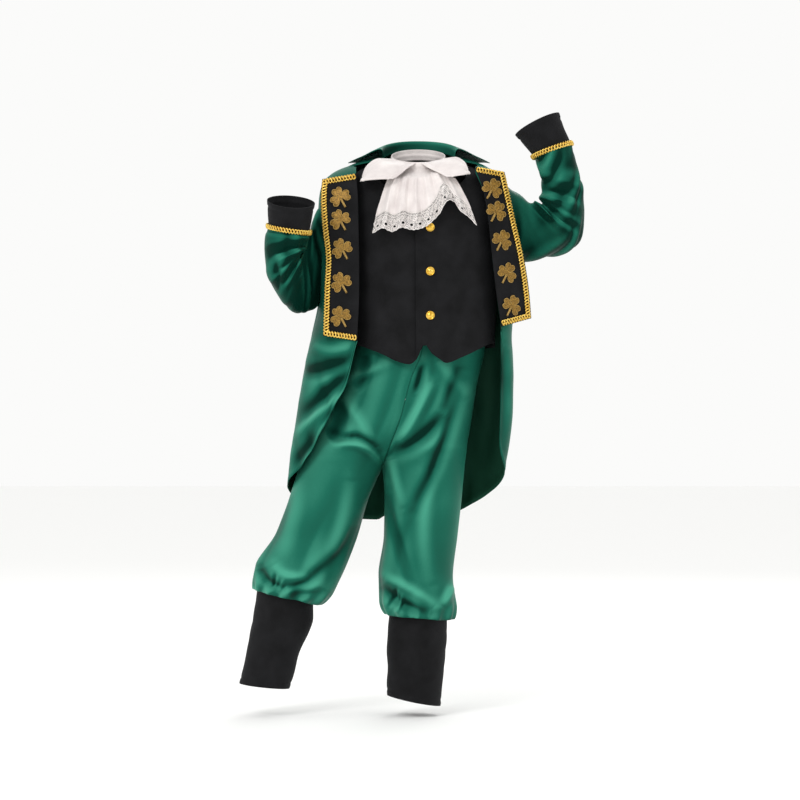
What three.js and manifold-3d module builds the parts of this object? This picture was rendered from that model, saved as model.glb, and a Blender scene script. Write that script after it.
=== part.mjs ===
// An Irish stage costume as it hangs on a wearer: tailcoat, waistcoat, collar with jabot, knee breeches.
// Millimetres, +Z up, the front faces -Y. The origin is the middle of the shoulder line.
// Right and left are the wearer's: right is -X.
import * as THREE from "three";
import Module from "manifold-3d";

const wasm = await Module();
wasm.setup();

const CLOTH = 1.5;
const SEAM = 0.2;
const CLEAR = 0.6;
const RIGHT = -1;
const LEFT = 1;

const SIDES = [
  { side: RIGHT, label: "right" },
  { side: LEFT, label: "left" },
];

const MATERIALS = {
  velour: new THREE.MeshStandardMaterial({ color: 0x1f6b54, roughness: 0.75, metalness: 0 }),
  black: new THREE.MeshStandardMaterial({ color: 0x1c1c1d, roughness: 0.85, metalness: 0 }),
  white: new THREE.MeshStandardMaterial({ color: 0xf3edea, roughness: 0.6, metalness: 0 }),
  braid: new THREE.MeshStandardMaterial({ color: 0xc9a94f, roughness: 0.4, metalness: 0.6 }),
  foil: new THREE.MeshStandardMaterial({ color: 0x9c7a34, roughness: 0.45, metalness: 0.5 }),
  brass: new THREE.MeshStandardMaterial({ color: 0xe4be57, roughness: 0.25, metalness: 1 }),
};

// Tables

/** Rows of numbers under named columns, as a list of records. */
function table(names, rows) {
  return rows.map((row) => Object.fromEntries(names.map((name, column) => [name, row[column]])));
}

/** The slope of a column at one row, kept small enough that the curve never overshoots its rows. */
function slopeAt(rows, key, name, index) {
  const before = rows[index - 1];
  const here = rows[index];
  const after = rows[index + 1];
  const rise = (from, to) => (to[name] - from[name]) / (to[key] - from[key]);
  if (!before) return rise(here, after);
  if (!after) return rise(before, here);
  const low = rise(before, here);
  const high = rise(here, after);
  return low * high <= 0 ? 0 : (2 * low * high) / (low + high);
}

/** The value of a column where the key column has a given value, on a smooth curve through the rows. */
function read(rows, key, name, at) {
  const rising = rows[rows.length - 1][key] > rows[0][key];
  const index = rows.findIndex((row) => (rising ? row[key] >= at : row[key] <= at)) - 1;
  if (index === -2) return rows[rows.length - 1][name];
  if (index === -1) return rows[0][name];
  const start = rows[index];
  const end = rows[index + 1];
  const span = end[key] - start[key];
  const t = (at - start[key]) / span;
  const t2 = t * t;
  const t3 = t2 * t;
  return (
    (2 * t3 - 3 * t2 + 1) * start[name] +
    (t3 - 2 * t2 + t) * span * slopeAt(rows, key, name, index) +
    (3 * t2 - 2 * t3) * end[name] +
    (t3 - t2) * span * slopeAt(rows, key, name, index + 1)
  );
}

const mix = THREE.MathUtils.lerp;
const radians = THREE.MathUtils.degToRad;
const signedPower = (value, power) => Math.sign(value) * Math.abs(value) ** power;

// Solids

/** A geometry from points and triangles, with its faces turned outward. */
function geometryOf(points, faces) {
  let volume = 0;
  for (const [a, b, c] of faces) {
    volume += points[a].dot(points[b].clone().cross(points[c]));
  }
  const turned = volume < 0 ? faces.map(([a, b, c]) => [a, c, b]) : faces;
  const geometry = new THREE.BufferGeometry().setFromPoints(points);
  geometry.setIndex(turned.flat());
  return geometry;
}

/** A grid of points of a surface; a grid that is not ringed has one more column than it has steps. */
function gridOf(surface, across, down, ringed) {
  const rows = [];
  for (let j = 0; j <= down; j += 1) {
    const row = [];
    for (let i = 0; i < across + (ringed ? 0 : 1); i += 1) {
      row.push(surface(i / across, j / down));
    }
    rows.push(row);
  }
  return rows;
}

/** Draws the open edges of a grid in, so that a seam is left between two neighbours. */
function drawIn(grid, ringed) {
  const toward = (point, neighbour) => {
    const step = neighbour.clone().sub(point);
    return point.clone().add(step.setLength(Math.min(SEAM, step.length() / 3)));
  };
  const last = grid.length - 1;
  grid[0] = grid[0].map((point, i) => toward(point, grid[1][i]));
  grid[last] = grid[last].map((point, i) => toward(point, grid[last - 1][i]));
  if (ringed) return grid;
  for (const row of grid) {
    const end = row.length - 1;
    row[0] = toward(row[0], row[1]);
    row[end] = toward(row[end], row[end - 1]);
  }
  return grid;
}

/** The grid moved along its own normals by a distance; straighten turns the normals at a seam into its plane. */
function moved(grid, distance, ringed, straighten = () => {}) {
  const last = grid.length - 1;
  return grid.map((row, j) =>
    row.map((point, i) => {
      const end = row.length - 1;
      const before = ringed ? row[(i + end) % row.length] : row[Math.max(i - 1, 0)];
      const after = ringed ? row[(i + 1) % row.length] : row[Math.min(i + 1, end)];
      const above = grid[Math.max(j - 1, 0)][i];
      const below = grid[Math.min(j + 1, last)][i];
      const normal = after.clone().sub(before).cross(below.clone().sub(above));
      straighten(i === 0, i === end, j / last, normal);
      normal.normalize();
      return point.clone().addScaledVector(normal, distance);
    }),
  );
}

/** A closed body between two grids of the same size. */
function between(outer, inner, ringed) {
  const columns = outer[0].length;
  const rows = outer.length;
  const points = [...outer.flat(), ...inner.flat()];
  const at = (layer, j, i) => layer * rows * columns + j * columns + (i % columns);
  const faces = [];
  const quad = (a, b, c, d) => faces.push([a, b, c], [a, c, d]);
  const steps = ringed ? columns : columns - 1;
  for (let j = 0; j < rows - 1; j += 1) {
    for (let i = 0; i < steps; i += 1) {
      quad(at(0, j, i), at(0, j, i + 1), at(0, j + 1, i + 1), at(0, j + 1, i));
      quad(at(1, j, i), at(1, j + 1, i), at(1, j + 1, i + 1), at(1, j, i + 1));
    }
    if (!ringed) {
      const end = columns - 1;
      quad(at(0, j, 0), at(0, j + 1, 0), at(1, j + 1, 0), at(1, j, 0));
      quad(at(0, j, end), at(1, j, end), at(1, j + 1, end), at(0, j + 1, end));
    }
  }
  for (let i = 0; i < steps; i += 1) {
    const end = rows - 1;
    quad(at(0, 0, i), at(1, 0, i), at(1, 0, i + 1), at(0, 0, i + 1));
    quad(at(0, end, i), at(0, end, i + 1), at(1, end, i + 1), at(1, end, i));
  }
  return geometryOf(points, faces);
}

/** A wall of cloth behind a surface; inward tells on which side of it the thickness lies. */
function wall(surface, across, down, { ringed = false, inward = 1, thickness = CLOTH, straighten } = {}) {
  const outer = drawIn(gridOf(surface, across, down, ringed), ringed);
  return between(outer, moved(outer, inward * thickness, ringed, straighten), ringed);
}

/** Keeps the edge of a panel square to its side seam. */
function atSideSeam(first, last, down, normal) {
  if (first) normal.y = 0;
}

/** Keeps both edges of a back square to its side seams. */
function atBothSides(first, last, down, normal) {
  if (first || last) normal.y = 0;
}

/** Keeps the edges of a leg panel square to its outer seam and, below the crotch, to its inner seam. */
function atLegSeams(first, last, down, normal) {
  if (first || (last && down >= 0.5)) normal.y = 0;
}

/** A solid that fills a ringed surface from end to end. */
function filled(surface, across, down, swell) {
  const grid = moved(gridOf(surface, across, down, true), swell, true);
  const points = grid.flat();
  const faces = [];
  for (let j = 0; j < down; j += 1) {
    for (let i = 0; i < across; i += 1) {
      const a = j * across + i;
      const b = j * across + ((i + 1) % across);
      faces.push([a, b, b + across], [a, b + across, a + across]);
    }
  }
  for (const [row, turn] of [[0, false], [down, true]]) {
    const centre = new THREE.Vector3();
    grid[row].forEach((point) => centre.addScaledVector(point, 1 / across));
    const hub = points.push(centre) - 1;
    for (let i = 0; i < across; i += 1) {
      const a = row * across + i;
      const b = row * across + ((i + 1) % across);
      faces.push(turn ? [hub, a, b] : [hub, b, a]);
    }
  }
  return geometryOf(points, faces);
}

/** The boolean library's solid for a geometry. */
function solidOf(geometry) {
  const mesh = new wasm.Mesh({
    numProp: 3,
    vertProperties: new Float32Array(geometry.attributes.position.array),
    triVerts: new Uint32Array(geometry.index.array),
  });
  return new wasm.Manifold(mesh);
}

/** A geometry with others cut away, as its largest single body. */
function cut(geometry, ...tools) {
  let solid = solidOf(geometry);
  for (const tool of tools) solid = solid.subtract(solidOf(tool));
  const bodies = solid.decompose().sort((a, b) => b.volume() - a.volume());
  const mesh = bodies[0].getMesh();
  const result = new THREE.BufferGeometry();
  result.setAttribute("position", new THREE.BufferAttribute(new Float32Array(mesh.vertProperties), 3));
  result.setIndex(new THREE.BufferAttribute(new Uint32Array(mesh.triVerts), 1));
  return result;
}

const costume = new THREE.Group();

/** Adds one named piece of the costume. */
function piece(name, geometry, material) {
  const mesh = new THREE.Mesh(geometry, material);
  mesh.name = name;
  costume.add(mesh);
}

// Rings of the upper body, from the neck down. lean drops the front of a ring and lifts its back.

const RING = ["level", "z", "middle", "half", "front", "back", "lean"];
const COAT_SQUARE = 2.7;
const VEST_SQUARE = 2.4;

const COAT_RINGS = table(RING, [
  [0, 38, 9, 53, 46, 52, 0.3],
  [1, 33, 8, 82, 53, 60, 0.24],
  [2, 24, 5, 112, 60, 67, 0.14],
  [3, 6, 2, 135, 70, 73, 0.05],
  [4, -22, 3, 144, 79, 79, 0],
  [5, -60, 5, 147, 87, 82, 0],
  [6, -110, 6, 147, 93, 82, 0],
  [7, -170, 5, 147, 96, 80, 0],
  [8, -225, -2, 150, 95, 83, 0],
  [9, -290, -8, 157, 95, 91, 0],
  [10, -363, -16, 159, 95, 99, 0],
  [11, -435, -25, 158, 95, 104, 0],
  [12, -515, -30, 155, 95, 108, 0],
]);

const VEST_RINGS = table(RING, [
  [0, 30, 9, 50, 44, 47, 0.3],
  [1, 25, 9, 80, 50, 54, 0.24],
  [2, 14, 11, 100, 58, 60, 0.12],
  [3, -10, 13, 110, 68, 65, 0.03],
  [4, -60, 14, 112, 79, 69, 0],
  [5, -120, 15, 112, 86, 70, 0],
  [6, -180, 15, 110, 88, 70, 0],
  [7, -235, 15, 108, 89, 74, 0],
  [8, -285, 14, 108, 90, 77, 0],
]);

/** The level at which a table of rings reaches a height. */
function levelAt(rings, z) {
  let low = 0;
  let high = rings[rings.length - 1].level;
  for (let step = 0; step < 30; step += 1) {
    const middle = (low + high) / 2;
    if (read(rings, "level", "z", middle) > z) low = middle;
    else high = middle;
  }
  return low;
}

/** A point of a ring. The angle is 0 at the side, 90 at the centre front and -90 at the centre back. */
function ringPoint(rings, square, side, angle, level) {
  const ring = (name) => read(rings, "level", name, level);
  const turn = radians(angle);
  const depth = angle >= 0 ? ring("front") : ring("back");
  const x = ring("middle") + side * ring("half") * signedPower(Math.cos(turn), 2 / square);
  const y = -depth * signedPower(Math.sin(turn), 2 / square);
  return new THREE.Vector3(x, y, ring("z") + ring("lean") * y);
}

/** The angle at which a ring reaches a distance across, on one side. */
function angleAt(rings, square, side, x, level) {
  const share = (side * (x - read(rings, "level", "middle", level))) / read(rings, "level", "half", level);
  return THREE.MathUtils.radToDeg(Math.acos(THREE.MathUtils.clamp(share, 0, 1) ** (square / 2)));
}

/** How far forward the front of a table of rings lies at a place across and up. */
function frontAt(rings, square, x, z) {
  const level = levelAt(rings, z);
  const away = Math.abs(x - read(rings, "level", "middle", level)) / read(rings, "level", "half", level);
  const share = Math.min(away, 0.98);
  return -read(rings, "level", "front", level) * (1 - share ** square) ** (1 / square);
}

// Tailcoat

// The fold of each front, where the lapel turns back, and the outer edge and slant of that lapel.
const LAPEL = ["z", "fold", "edge", "slant"];
const LAPELS = {
  [RIGHT]: table(LAPEL, [
    [13, -85, -134, 0.2],
    [-25, -82, -137, 0.22],
    [-70, -81, -134, 0.24],
    [-115, -80, -129, 0.25],
    [-160, -80, -131, 0.25],
    [-236, -83, -133, 0.25],
  ]),
  [LEFT]: table(LAPEL, [
    [20, 93, 135, 0.2],
    [-20, 106, 143, 0.3],
    [-60, 112, 152, 0.38],
    [-110, 117, 164, 0.48],
    [-160, 123, 172, 0.55],
    [-214, 131, 177, 0.62],
  ]),
};

// The ends of each lapel at its outer edge; at the fold it starts higher and ends lower.
const FACING = {
  thickness: 1.6,
  lift: 0.5,
  crowd: 1.4,
  top: { [RIGHT]: 5, [LEFT]: 16 },
  bottom: { [RIGHT]: -231, [LEFT]: -209 },
  foldRise: 8,
  foldDrop: 5,
  edgeRise: { [RIGHT]: 3, [LEFT]: 8 },
};

// The cut-away hem of each front: the share of the way from the side to the fold, and the height.
const HEMS = {
  [RIGHT]: table(["share", "z"], [
    [0, -449], [0.28, -430], [0.545, -404], [0.745, -368], [0.885, -328], [0.96, -296], [1, -240],
  ]),
  [LEFT]: table(["share", "z"], [
    [0, -428], [0.3, -416], [0.6, -395], [0.78, -362], [0.9, -320], [0.96, -280], [1, -238],
  ]),
};

// The hem of each back, from the side round to the centre back.
const BACK_HEM = {
  [RIGHT]: table(["angle", "z"], [[0, -449], [20, -470], [45, -490], [70, -503], [86, -506], [90, -494]]),
  [LEFT]: table(["angle", "z"], [[0, -428], [20, -456], [45, -482], [70, -500], [86, -506], [90, -494]]),
};

const FRONT_NARROWEST = 20;
const VENT = { top: -330, bottom: -500, gap: 3.5 };

const SKIRT_RIPPLE = { depth: 5.5, waves: 5.2, turn: 24, from: 8.3, to: 12 };

/** A soft fold of the skirts: a ripple that grows toward the hem. */
function skirtRipple(angle, level) {
  const { depth, waves, turn, from, to } = SKIRT_RIPPLE;
  return depth * THREE.MathUtils.smoothstep(level, from, to) * Math.cos(radians(angle * waves + turn));
}

/** The angle at which a front ends: at the fold of its lapel, and straight down from the foot of that. */
function foldAngle(side, level) {
  const foot = FACING.bottom[side] - FACING.foldDrop;
  const z = Math.max(read(COAT_RINGS, "level", "z", level), foot);
  const fold = read(LAPELS[side], "z", "fold", z);
  return angleAt(COAT_RINGS, COAT_SQUARE, side, fold, Math.min(level, levelAt(COAT_RINGS, foot)));
}

/** A point of the coat moved out by its ripple. */
function coatPoint(side, angle, level) {
  const point = ringPoint(COAT_RINGS, COAT_SQUARE, side, angle, level);
  const middle = read(COAT_RINGS, "level", "middle", level);
  const outward = new THREE.Vector3(point.x - middle, point.y, 0).normalize();
  return point.addScaledVector(outward, skirtRipple(angle, level));
}

const EVEN_SHARE = 0.75;

/** Levels spaced closer over the shoulder than down the skirts. */
const spaced = (v) => mix(v * v, v, EVEN_SHARE);

/** The level near the shoulder seam where a front has grown to its narrowest width. */
function frontTop(side) {
  let level = 1;
  while (foldAngle(side, level) < FRONT_NARROWEST) level += 0.02;
  return level;
}

function coatFront(side) {
  const top = frontTop(side);
  return (u, v) => {
    const bottom = levelAt(COAT_RINGS, read(HEMS[side], "share", "z", u));
    const level = mix(top, bottom, spaced(v));
    return coatPoint(side, u * foldAngle(side, level), level);
  };
}

function coatBack(side) {
  return (u, v) => {
    const bottom = levelAt(COAT_RINGS, read(BACK_HEM[side], "angle", "z", u * 90));
    const level = bottom * spaced(v);
    const point = coatPoint(side, -u * 90, level);
    const open = THREE.MathUtils.smoothstep(-point.z, -VENT.top, -VENT.bottom);
    point.x += side * VENT.gap * open * u ** 6;
    return point;
  };
}

// Sleeves: each row is a ring, with its crook and elbow edges as seen from the front.

const SLEEVE = ["row", "crookX", "crookZ", "elbowX", "elbowZ", "y", "depth", "dip"];
const SLEEVES = {
  [RIGHT]: table(SLEEVE, [
    [0, -90, -8, -90, -142, 6, 44, 0],
    [1, -118, -8, -118, -158, 2, 48, 0],
    [2, -136, -24, -136, -176, -2, 46, 0],
    [3, -149, -52, -154, -190, -22, 46, 0],
    [4, -155, -80, -172, -194, -54, 46, 0],
    [5, -158, -97, -190, -182, -71, 43, 0],
    [6, -159, -102, -204, -161, -85, 41, 0],
    [7, -158, -100, -216, -133, -95, 38, 0],
    [8, -156, -94, -218, -105, -102, 35, 0],
    [9, -153, -85, -216, -80, -108, 32, -2],
    [10, -152, -77.5, -212, -68, -112, 29, -4],
    [11, -148, -56, -213, -49, -116, 31, -7],
    [12, -144, -36, -213, -30, -120, 33, -11],
  ]),
  [LEFT]: table(SLEEVE, [
    [0, 98, 8, 98, -116, 6, 44, 0],
    [1, 126, 7, 131, -119, 2, 48, 0],
    [2, 146, -5, 161, -115, 6, 44, 0],
    [3, 165, -19, 190, -111, -8, 42, 0],
    [4, 178, -28, 218, -106, -30, 42, 0],
    [5, 184, -30, 240, -96, -54, 41, 0],
    [6, 188, -28, 251, -77, -62, 39, 0],
    [7, 189.5, -21, 253, -46, -68, 37, 0],
    [8, 189.5, -7, 251, -19, -74, 34, 0],
    [9, 187, 12, 245, 8, -79, 31, 0],
    [10, 177, 35, 232, 55, -85, 28, 1],
    [11, 163, 52, 221, 78, -89, 30, 3],
    [12, 150, 67, 214, 98, -93, 32, 5],
  ]),
};
const CUFF_SEAM = 10;
const CUFF_END = 12;
const CUFF_BRAID = { half: 0.22, thickness: 1.6, lift: 0.8 };

// Folds that ring each sleeve: the row they lie on, where round it, how deep and how wide.
const SLEEVE_FOLD = ["row", "angle", "depth", "reach", "spread"];
const SLEEVE_FOLDS = table(SLEEVE_FOLD, [
  [3.3, 60, -4.5, 0.5, 80],
  [4.6, 45, 3.6, 0.45, 75],
  [5.6, 30, -5, 0.45, 80],
  [6.6, 45, 4, 0.45, 75],
  [7.6, 60, -4, 0.45, 80],
  [8.7, 80, 2.6, 0.45, 80],
]);

/** How far the folds move a point of a sleeve out; the angle is 0 at the crook. */
function sleeveFold(angle, row) {
  return SLEEVE_FOLDS.reduce((sum, fold) => {
    const along = (row - fold.row) / fold.reach;
    const turn = ((angle - fold.angle + 540) % 360) - 180;
    const round = turn / fold.spread;
    return sum + fold.depth * Math.exp(-(along * along) - round * round);
  }, 0);
}

/** A point of a sleeve, with its folds, moved out by a distance. */
function sleevePoint(side, turn, row, out = 0) {
  const at = (name) => read(SLEEVES[side], "row", name, row);
  const crook = new THREE.Vector3(at("crookX"), at("y"), at("crookZ"));
  const elbow = new THREE.Vector3(at("elbowX"), at("y"), at("elbowZ"));
  const centre = crook.clone().add(elbow).multiplyScalar(0.5);
  const reach = crook.clone().sub(centre);
  const angle = turn * Math.PI * 2;
  const swell = out + sleeveFold(turn * 360, row);
  const point = centre.clone().addScaledVector(reach, Math.cos(angle) * (1 + swell / reach.length()));
  point.y -= (at("depth") + swell) * Math.sin(angle);
  point.z += at("dip") * Math.sin(angle);
  return point;
}

function sleeveSpan(side, from, to, out = 0) {
  return (u, v) => sleevePoint(side, u, mix(from, to, v), out);
}

const sleeveInward = (side) => (side === RIGHT ? 1 : -1);

/** The whole of a sleeve as a filled solid, a little larger than the sleeve. */
function sleeveCore(side) {
  return filled(sleeveSpan(side, 0, CUFF_SEAM), 16, 18, -sleeveInward(side) * CLEAR);
}

/** The upper body of the coat as a filled solid, a little larger than the coat. */
function coatCore() {
  const surface = (u, v) => {
    const degrees = u * 360;
    const side = degrees < 90 || degrees > 270 ? LEFT : RIGHT;
    const front = degrees <= 180;
    const fromSide = side === LEFT ? Math.min(degrees, 360 - degrees) : Math.abs(180 - degrees);
    return ringPoint(COAT_RINGS, COAT_SQUARE, side, front ? fromSide : -fromSide, v * 9);
  };
  return filled(surface, 48, 24, CLEAR);
}

function addCoat() {
  const core = coatCore();
  for (const { side, label } of SIDES) {
    const inward = side === RIGHT ? 1 : -1;
    const arm = sleeveCore(side);
    const front = wall(coatFront(side), 8, 16, { inward, straighten: atSideSeam });
    const back = wall(coatBack(side), 10, 15, { inward: -inward, straighten: atSideSeam });
    piece(`coat_front_${label}`, cut(front, arm), MATERIALS.velour);
    piece(`coat_back_${label}`, cut(back, arm), MATERIALS.velour);
    const sleeve = wall(sleeveSpan(side, 0, CUFF_SEAM), 16, 18, { ringed: true, inward: sleeveInward(side) });
    piece(`sleeve_${label}`, cut(sleeve, core), MATERIALS.velour);
    addCuff(side, label);
  }
}

function addCuff(side, label) {
  const inward = sleeveInward(side);
  const cuff = wall(sleeveSpan(side, CUFF_SEAM, CUFF_END), 16, 2, { ringed: true, inward });
  piece(`cuff_${label}`, cuff, MATERIALS.black);
  const { half, thickness, lift } = CUFF_BRAID;
  const band = sleeveSpan(side, CUFF_SEAM - half, CUFF_SEAM + half, lift + thickness);
  piece(`cuff_braid_${label}`, wall(band, 16, 2, { ringed: true, inward, thickness }), MATERIALS.braid);
}

// Lapels: flat facings turned back from the fold, with braid on three edges and leaf badges.

const BRAID = { width: 9, thickness: 1.6, overhang: 0.5 };

/** The heights of the fold and the outer edge of a lapel at a share of the way down. */
function facingZ(side, u, v) {
  const fold = mix(FACING.top[side] + FACING.foldRise, FACING.bottom[side] - FACING.foldDrop, v);
  const edge = mix(FACING.top[side], FACING.bottom[side] + FACING.edgeRise[side], v);
  return mix(fold, edge, u);
}

/** How far forward the back of a lapel lies at a place across and up. */
function facingY(side, x, z) {
  const at = (name) => read(LAPELS[side], "z", name, z);
  const fold = at("fold");
  return frontAt(COAT_RINGS, COAT_SQUARE, fold, z) - FACING.lift + at("slant") * Math.abs(x - fold);
}

/** A point of a lapel, u from the fold to the outer edge and v from the top down, some way in front of its back. */
function facingPoint(side, u, v, ahead) {
  const z = facingZ(side, u, v);
  const x = mix(read(LAPELS[side], "z", "fold", z), read(LAPELS[side], "z", "edge", z), u);
  return new THREE.Vector3(x, facingY(side, x, z) - ahead, z);
}

/** A closed body between the front and the back of a flat-lying sheet. */
function sheet(surface, across, down, behind, ahead) {
  const grid = gridOf((u, v) => surface(u, v, 0), across, down, false);
  const shifted = (distance) => grid.map((row) => row.map((point) => point.clone().setY(point.y - distance)));
  return between(shifted(ahead), shifted(behind), false);
}

/** The braid's path round a lapel: along the top, down the outer edge and back along the bottom. */
function braidPoint(side, along, across) {
  const inset = BRAID.width * across - BRAID.overhang;
  const wide = Math.abs(read(LAPELS[side], "z", "edge", -100) - read(LAPELS[side], "z", "fold", -100));
  const tall = FACING.top[side] - FACING.bottom[side];
  const u = inset / wide;
  const v = inset / tall;
  if (along < 1) return facingPoint(side, mix(0, 1 - u, along), v, 0);
  if (along < 2) return facingPoint(side, 1 - u, mix(v, 1 - v, (along - 1) ** FACING.crowd), 0);
  return facingPoint(side, mix(1 - u, 0, along - 2), 1 - v, 0);
}

// A three-leaf badge: leaves as heart lobes round the middle, and a stem. Turns are in radians.
const BADGE = { size: 14.5, thickness: 1.2, lift: 0.8, stem: 17, stemWide: 1.7, stemTurn: 0.5 };
const LOBE = { steps: 8, spacing: 1.75, reach: 0.85, notch: 0.2, narrow: 26, waist: 0.24, square: 3.2 };
const BADGES = {
  [RIGHT]: table(["x", "z"], [[-108, -23], [-108, -57], [-105, -100], [-106, -150], [-107, -200]]),
  [LEFT]: table(["x", "z"], [[117, -10], [123, -44], [131, -87], [139, -135], [146, -183]]),
};

/** The outline of a badge round its middle, with the stem turned toward the fold or away from it. */
function badgeOutline(turn) {
  const outline = [];
  const leaf = (heading) => {
    for (let step = 0; step <= LOBE.steps; step += 1) {
      const t = mix(-1, 1, step / LOBE.steps);
      const notched = 1 - LOBE.notch * Math.exp(-t * t * LOBE.narrow);
      const narrowed = mix(LOBE.waist, 1, Math.sqrt(1 - Math.abs(t) ** LOBE.square));
      const radius = BADGE.size * notched * narrowed;
      const angle = heading + t * LOBE.reach;
      outline.push(new THREE.Vector2(Math.cos(angle) * radius, Math.sin(angle) * radius));
    }
  };
  const down = -Math.PI / 2 + turn * BADGE.stemTurn;
  const foot = new THREE.Vector2(Math.cos(down), Math.sin(down)).multiplyScalar(BADGE.stem);
  const across = new THREE.Vector2(-foot.y, foot.x).setLength(BADGE.stemWide);
  for (const place of [-1, 0, 1]) leaf(down + Math.PI + place * LOBE.spacing);
  outline.push(foot.clone().sub(across), foot.clone().add(across));
  return outline;
}

function badge(side, { x, z }) {
  const outline = badgeOutline(side === RIGHT ? 1 : -1);
  const faces = THREE.ShapeUtils.triangulateShape(outline, []);
  const count = outline.length;
  const points = [];
  for (const ahead of [FACING.thickness + BADGE.lift, FACING.thickness + BADGE.lift + BADGE.thickness]) {
    for (const place of outline) {
      const across = x + place.x * Math.cos(Math.atan(read(LAPELS[side], "z", "slant", z)));
      points.push(new THREE.Vector3(across, facingY(side, across, z + place.y) - ahead, z + place.y));
    }
  }
  const all = [...faces, ...faces.map(([a, b, c]) => [a + count, c + count, b + count])];
  outline.forEach((_, i) => {
    const next = (i + 1) % count;
    all.push([i, i + count, next + count], [i, next + count, next]);
  });
  return geometryOf(points, all);
}

function addLapels() {
  for (const { side, label } of SIDES) {
    const { thickness } = FACING;
    const flat = sheet((u, v) => facingPoint(side, u, v ** FACING.crowd, 0), 2, 16, 0, thickness);
    piece(`lapel_${label}`, flat, MATERIALS.black);
    const path = (u, v) => braidPoint(side, v * 3, u);
    const ahead = thickness + BADGE.lift;
    piece(`lapel_braid_${label}`, sheet(path, 1, 24, ahead, ahead + BRAID.thickness), MATERIALS.braid);
    BADGES[side].forEach((place, index) => {
      piece(`shamrock_${label}_${index + 1}`, badge(side, place), MATERIALS.foil);
    });
  }
}

// Fall collar of the coat: a section swept round the back of the neck, wider at its two ends.

const COLLAR_START = -3;
const COLLAR_SECTION = table(["step", "sideOut", "sideUp", "backOut", "backUp"], [
  [0, 0, 0.6, 0, 0.6], [1, 1, 11, 1, 12], [2, 6, 16, 4, 17], [3, 16, 13, 8, 13],
  [4, 30, 6, 12, 3], [5, 44, 0, 16, -8], [6, 54, -5, 19, -18],
]);

/** A place of a section, swept round the neck ring of the coat from one end in front to the other. */
function collarPoint(u, v) {
  const degrees = mix(180 - COLLAR_START, 360 + COLLAR_START, u);
  const side = degrees < 270 ? RIGHT : LEFT;
  const angle = side === RIGHT ? 180 - degrees : degrees - 360;
  const neck = ringPoint(COAT_RINGS, 2, side, angle, 0);
  const middle = new THREE.Vector3(read(COAT_RINGS, "level", "middle", 0), 0, neck.z);
  const outward = neck.clone().sub(middle).normalize();
  const sideways = Math.cos(radians(degrees)) ** 2;
  const at = (name) => read(COLLAR_SECTION, "step", name, v * 6);
  const point = neck.addScaledVector(outward, mix(at("backOut"), at("sideOut"), sideways));
  return point.setZ(point.z + mix(at("backUp"), at("sideUp"), sideways));
}

// Waistcoat: two fronts that lap at the centre, a back, and three buttons.

const VEST_HEM = table(["x", "z"], [
  [-98, -240], [-81, -242], [-64, -248], [-44, -256], [-26, -265], [-6, -270], [5, -262], [15, -240],
  [27, -254], [38, -262], [48, -268], [70, -260], [95, -248], [111, -240], [122, -236],
]);
const VEST_EDGE = {
  [RIGHT]: table(["level", "angle"], [[0, 40], [1, 44], [2, 52], [3, 70], [3.6, 84], [3.9, 90], [8, 90]]),
  [LEFT]: table(["level", "angle"], [[0, 40], [1, 44], [2, 52], [3, 70], [3.6, 84], [3.9, 93.5], [8, 93.5]]),
};
// The left front lies over the right one from where it starts to rise.
const VEST_LAP = { from: 80, to: 90, rise: 3.6 };
const VEST_BACK_HEM = -244;
const VEST_LOWEST = 7.9;
const ARMHOLE = { z: -48, y: -2, tall: 46, deep: 38, from: 60, to: 160 };

/** A point of a vest front, whose edge leaves the centre above the neckline. */
function vestFront(side) {
  return (u, v) => {
    const level = v * VEST_LOWEST;
    const edge = (at) => read(VEST_EDGE[side], "level", "angle", at);
    const first = ringPoint(VEST_RINGS, VEST_SQUARE, side, u * edge(level), level);
    const lowered = v * levelAt(VEST_RINGS, read(VEST_HEM, "x", "z", first.x));
    const angle = u * edge(lowered);
    const point = ringPoint(VEST_RINGS, VEST_SQUARE, side, angle, lowered);
    if (side === LEFT) point.y -= VEST_LAP.rise * THREE.MathUtils.smoothstep(angle, VEST_LAP.from, VEST_LAP.to);
    return point;
  };
}

function vestBack(u, v) {
  const level = v * levelAt(VEST_RINGS, VEST_BACK_HEM);
  const degrees = u * 180;
  return ringPoint(VEST_RINGS, VEST_SQUARE, degrees < 90 ? RIGHT : LEFT, degrees < 90 ? -degrees : degrees - 180, level);
}

/** The armholes of the waistcoat, as one solid on each side. */
function armhole(side) {
  return filled((u, v) => {
    const turn = u * Math.PI * 2;
    const x = side * mix(ARMHOLE.from, ARMHOLE.to, v);
    return new THREE.Vector3(x, ARMHOLE.y + ARMHOLE.deep * Math.cos(turn), ARMHOLE.z + ARMHOLE.tall * Math.sin(turn));
  }, 20, 1, 0);
}

const BUTTON = { radius: 6.5, height: 4.2, lift: 2 };
const BUTTONS = table(["x", "z"], [[25, -68], [25, -133], [25, -198]]);

/** A domed button with a raised rim, its back against the cloth. */
function button({ x, z }) {
  const { radius, height } = BUTTON;
  const profile = [[0, 0], [0.8, 0], [1, 0.25], [1, 0.6], [0.86, 0.78], [0.74, 0.62], [0.5, 0.86], [0, 1]];
  const points = profile.map(([out, up]) => new THREE.Vector2(out * radius, up * height));
  const lathe = new THREE.LatheGeometry(points, 12);
  lathe.rotateX(Math.PI);
  const front = frontAt(VEST_RINGS, VEST_SQUARE, x, z);
  lathe.translate(x, front - BUTTON.lift, z);
  return lathe;
}

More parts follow.
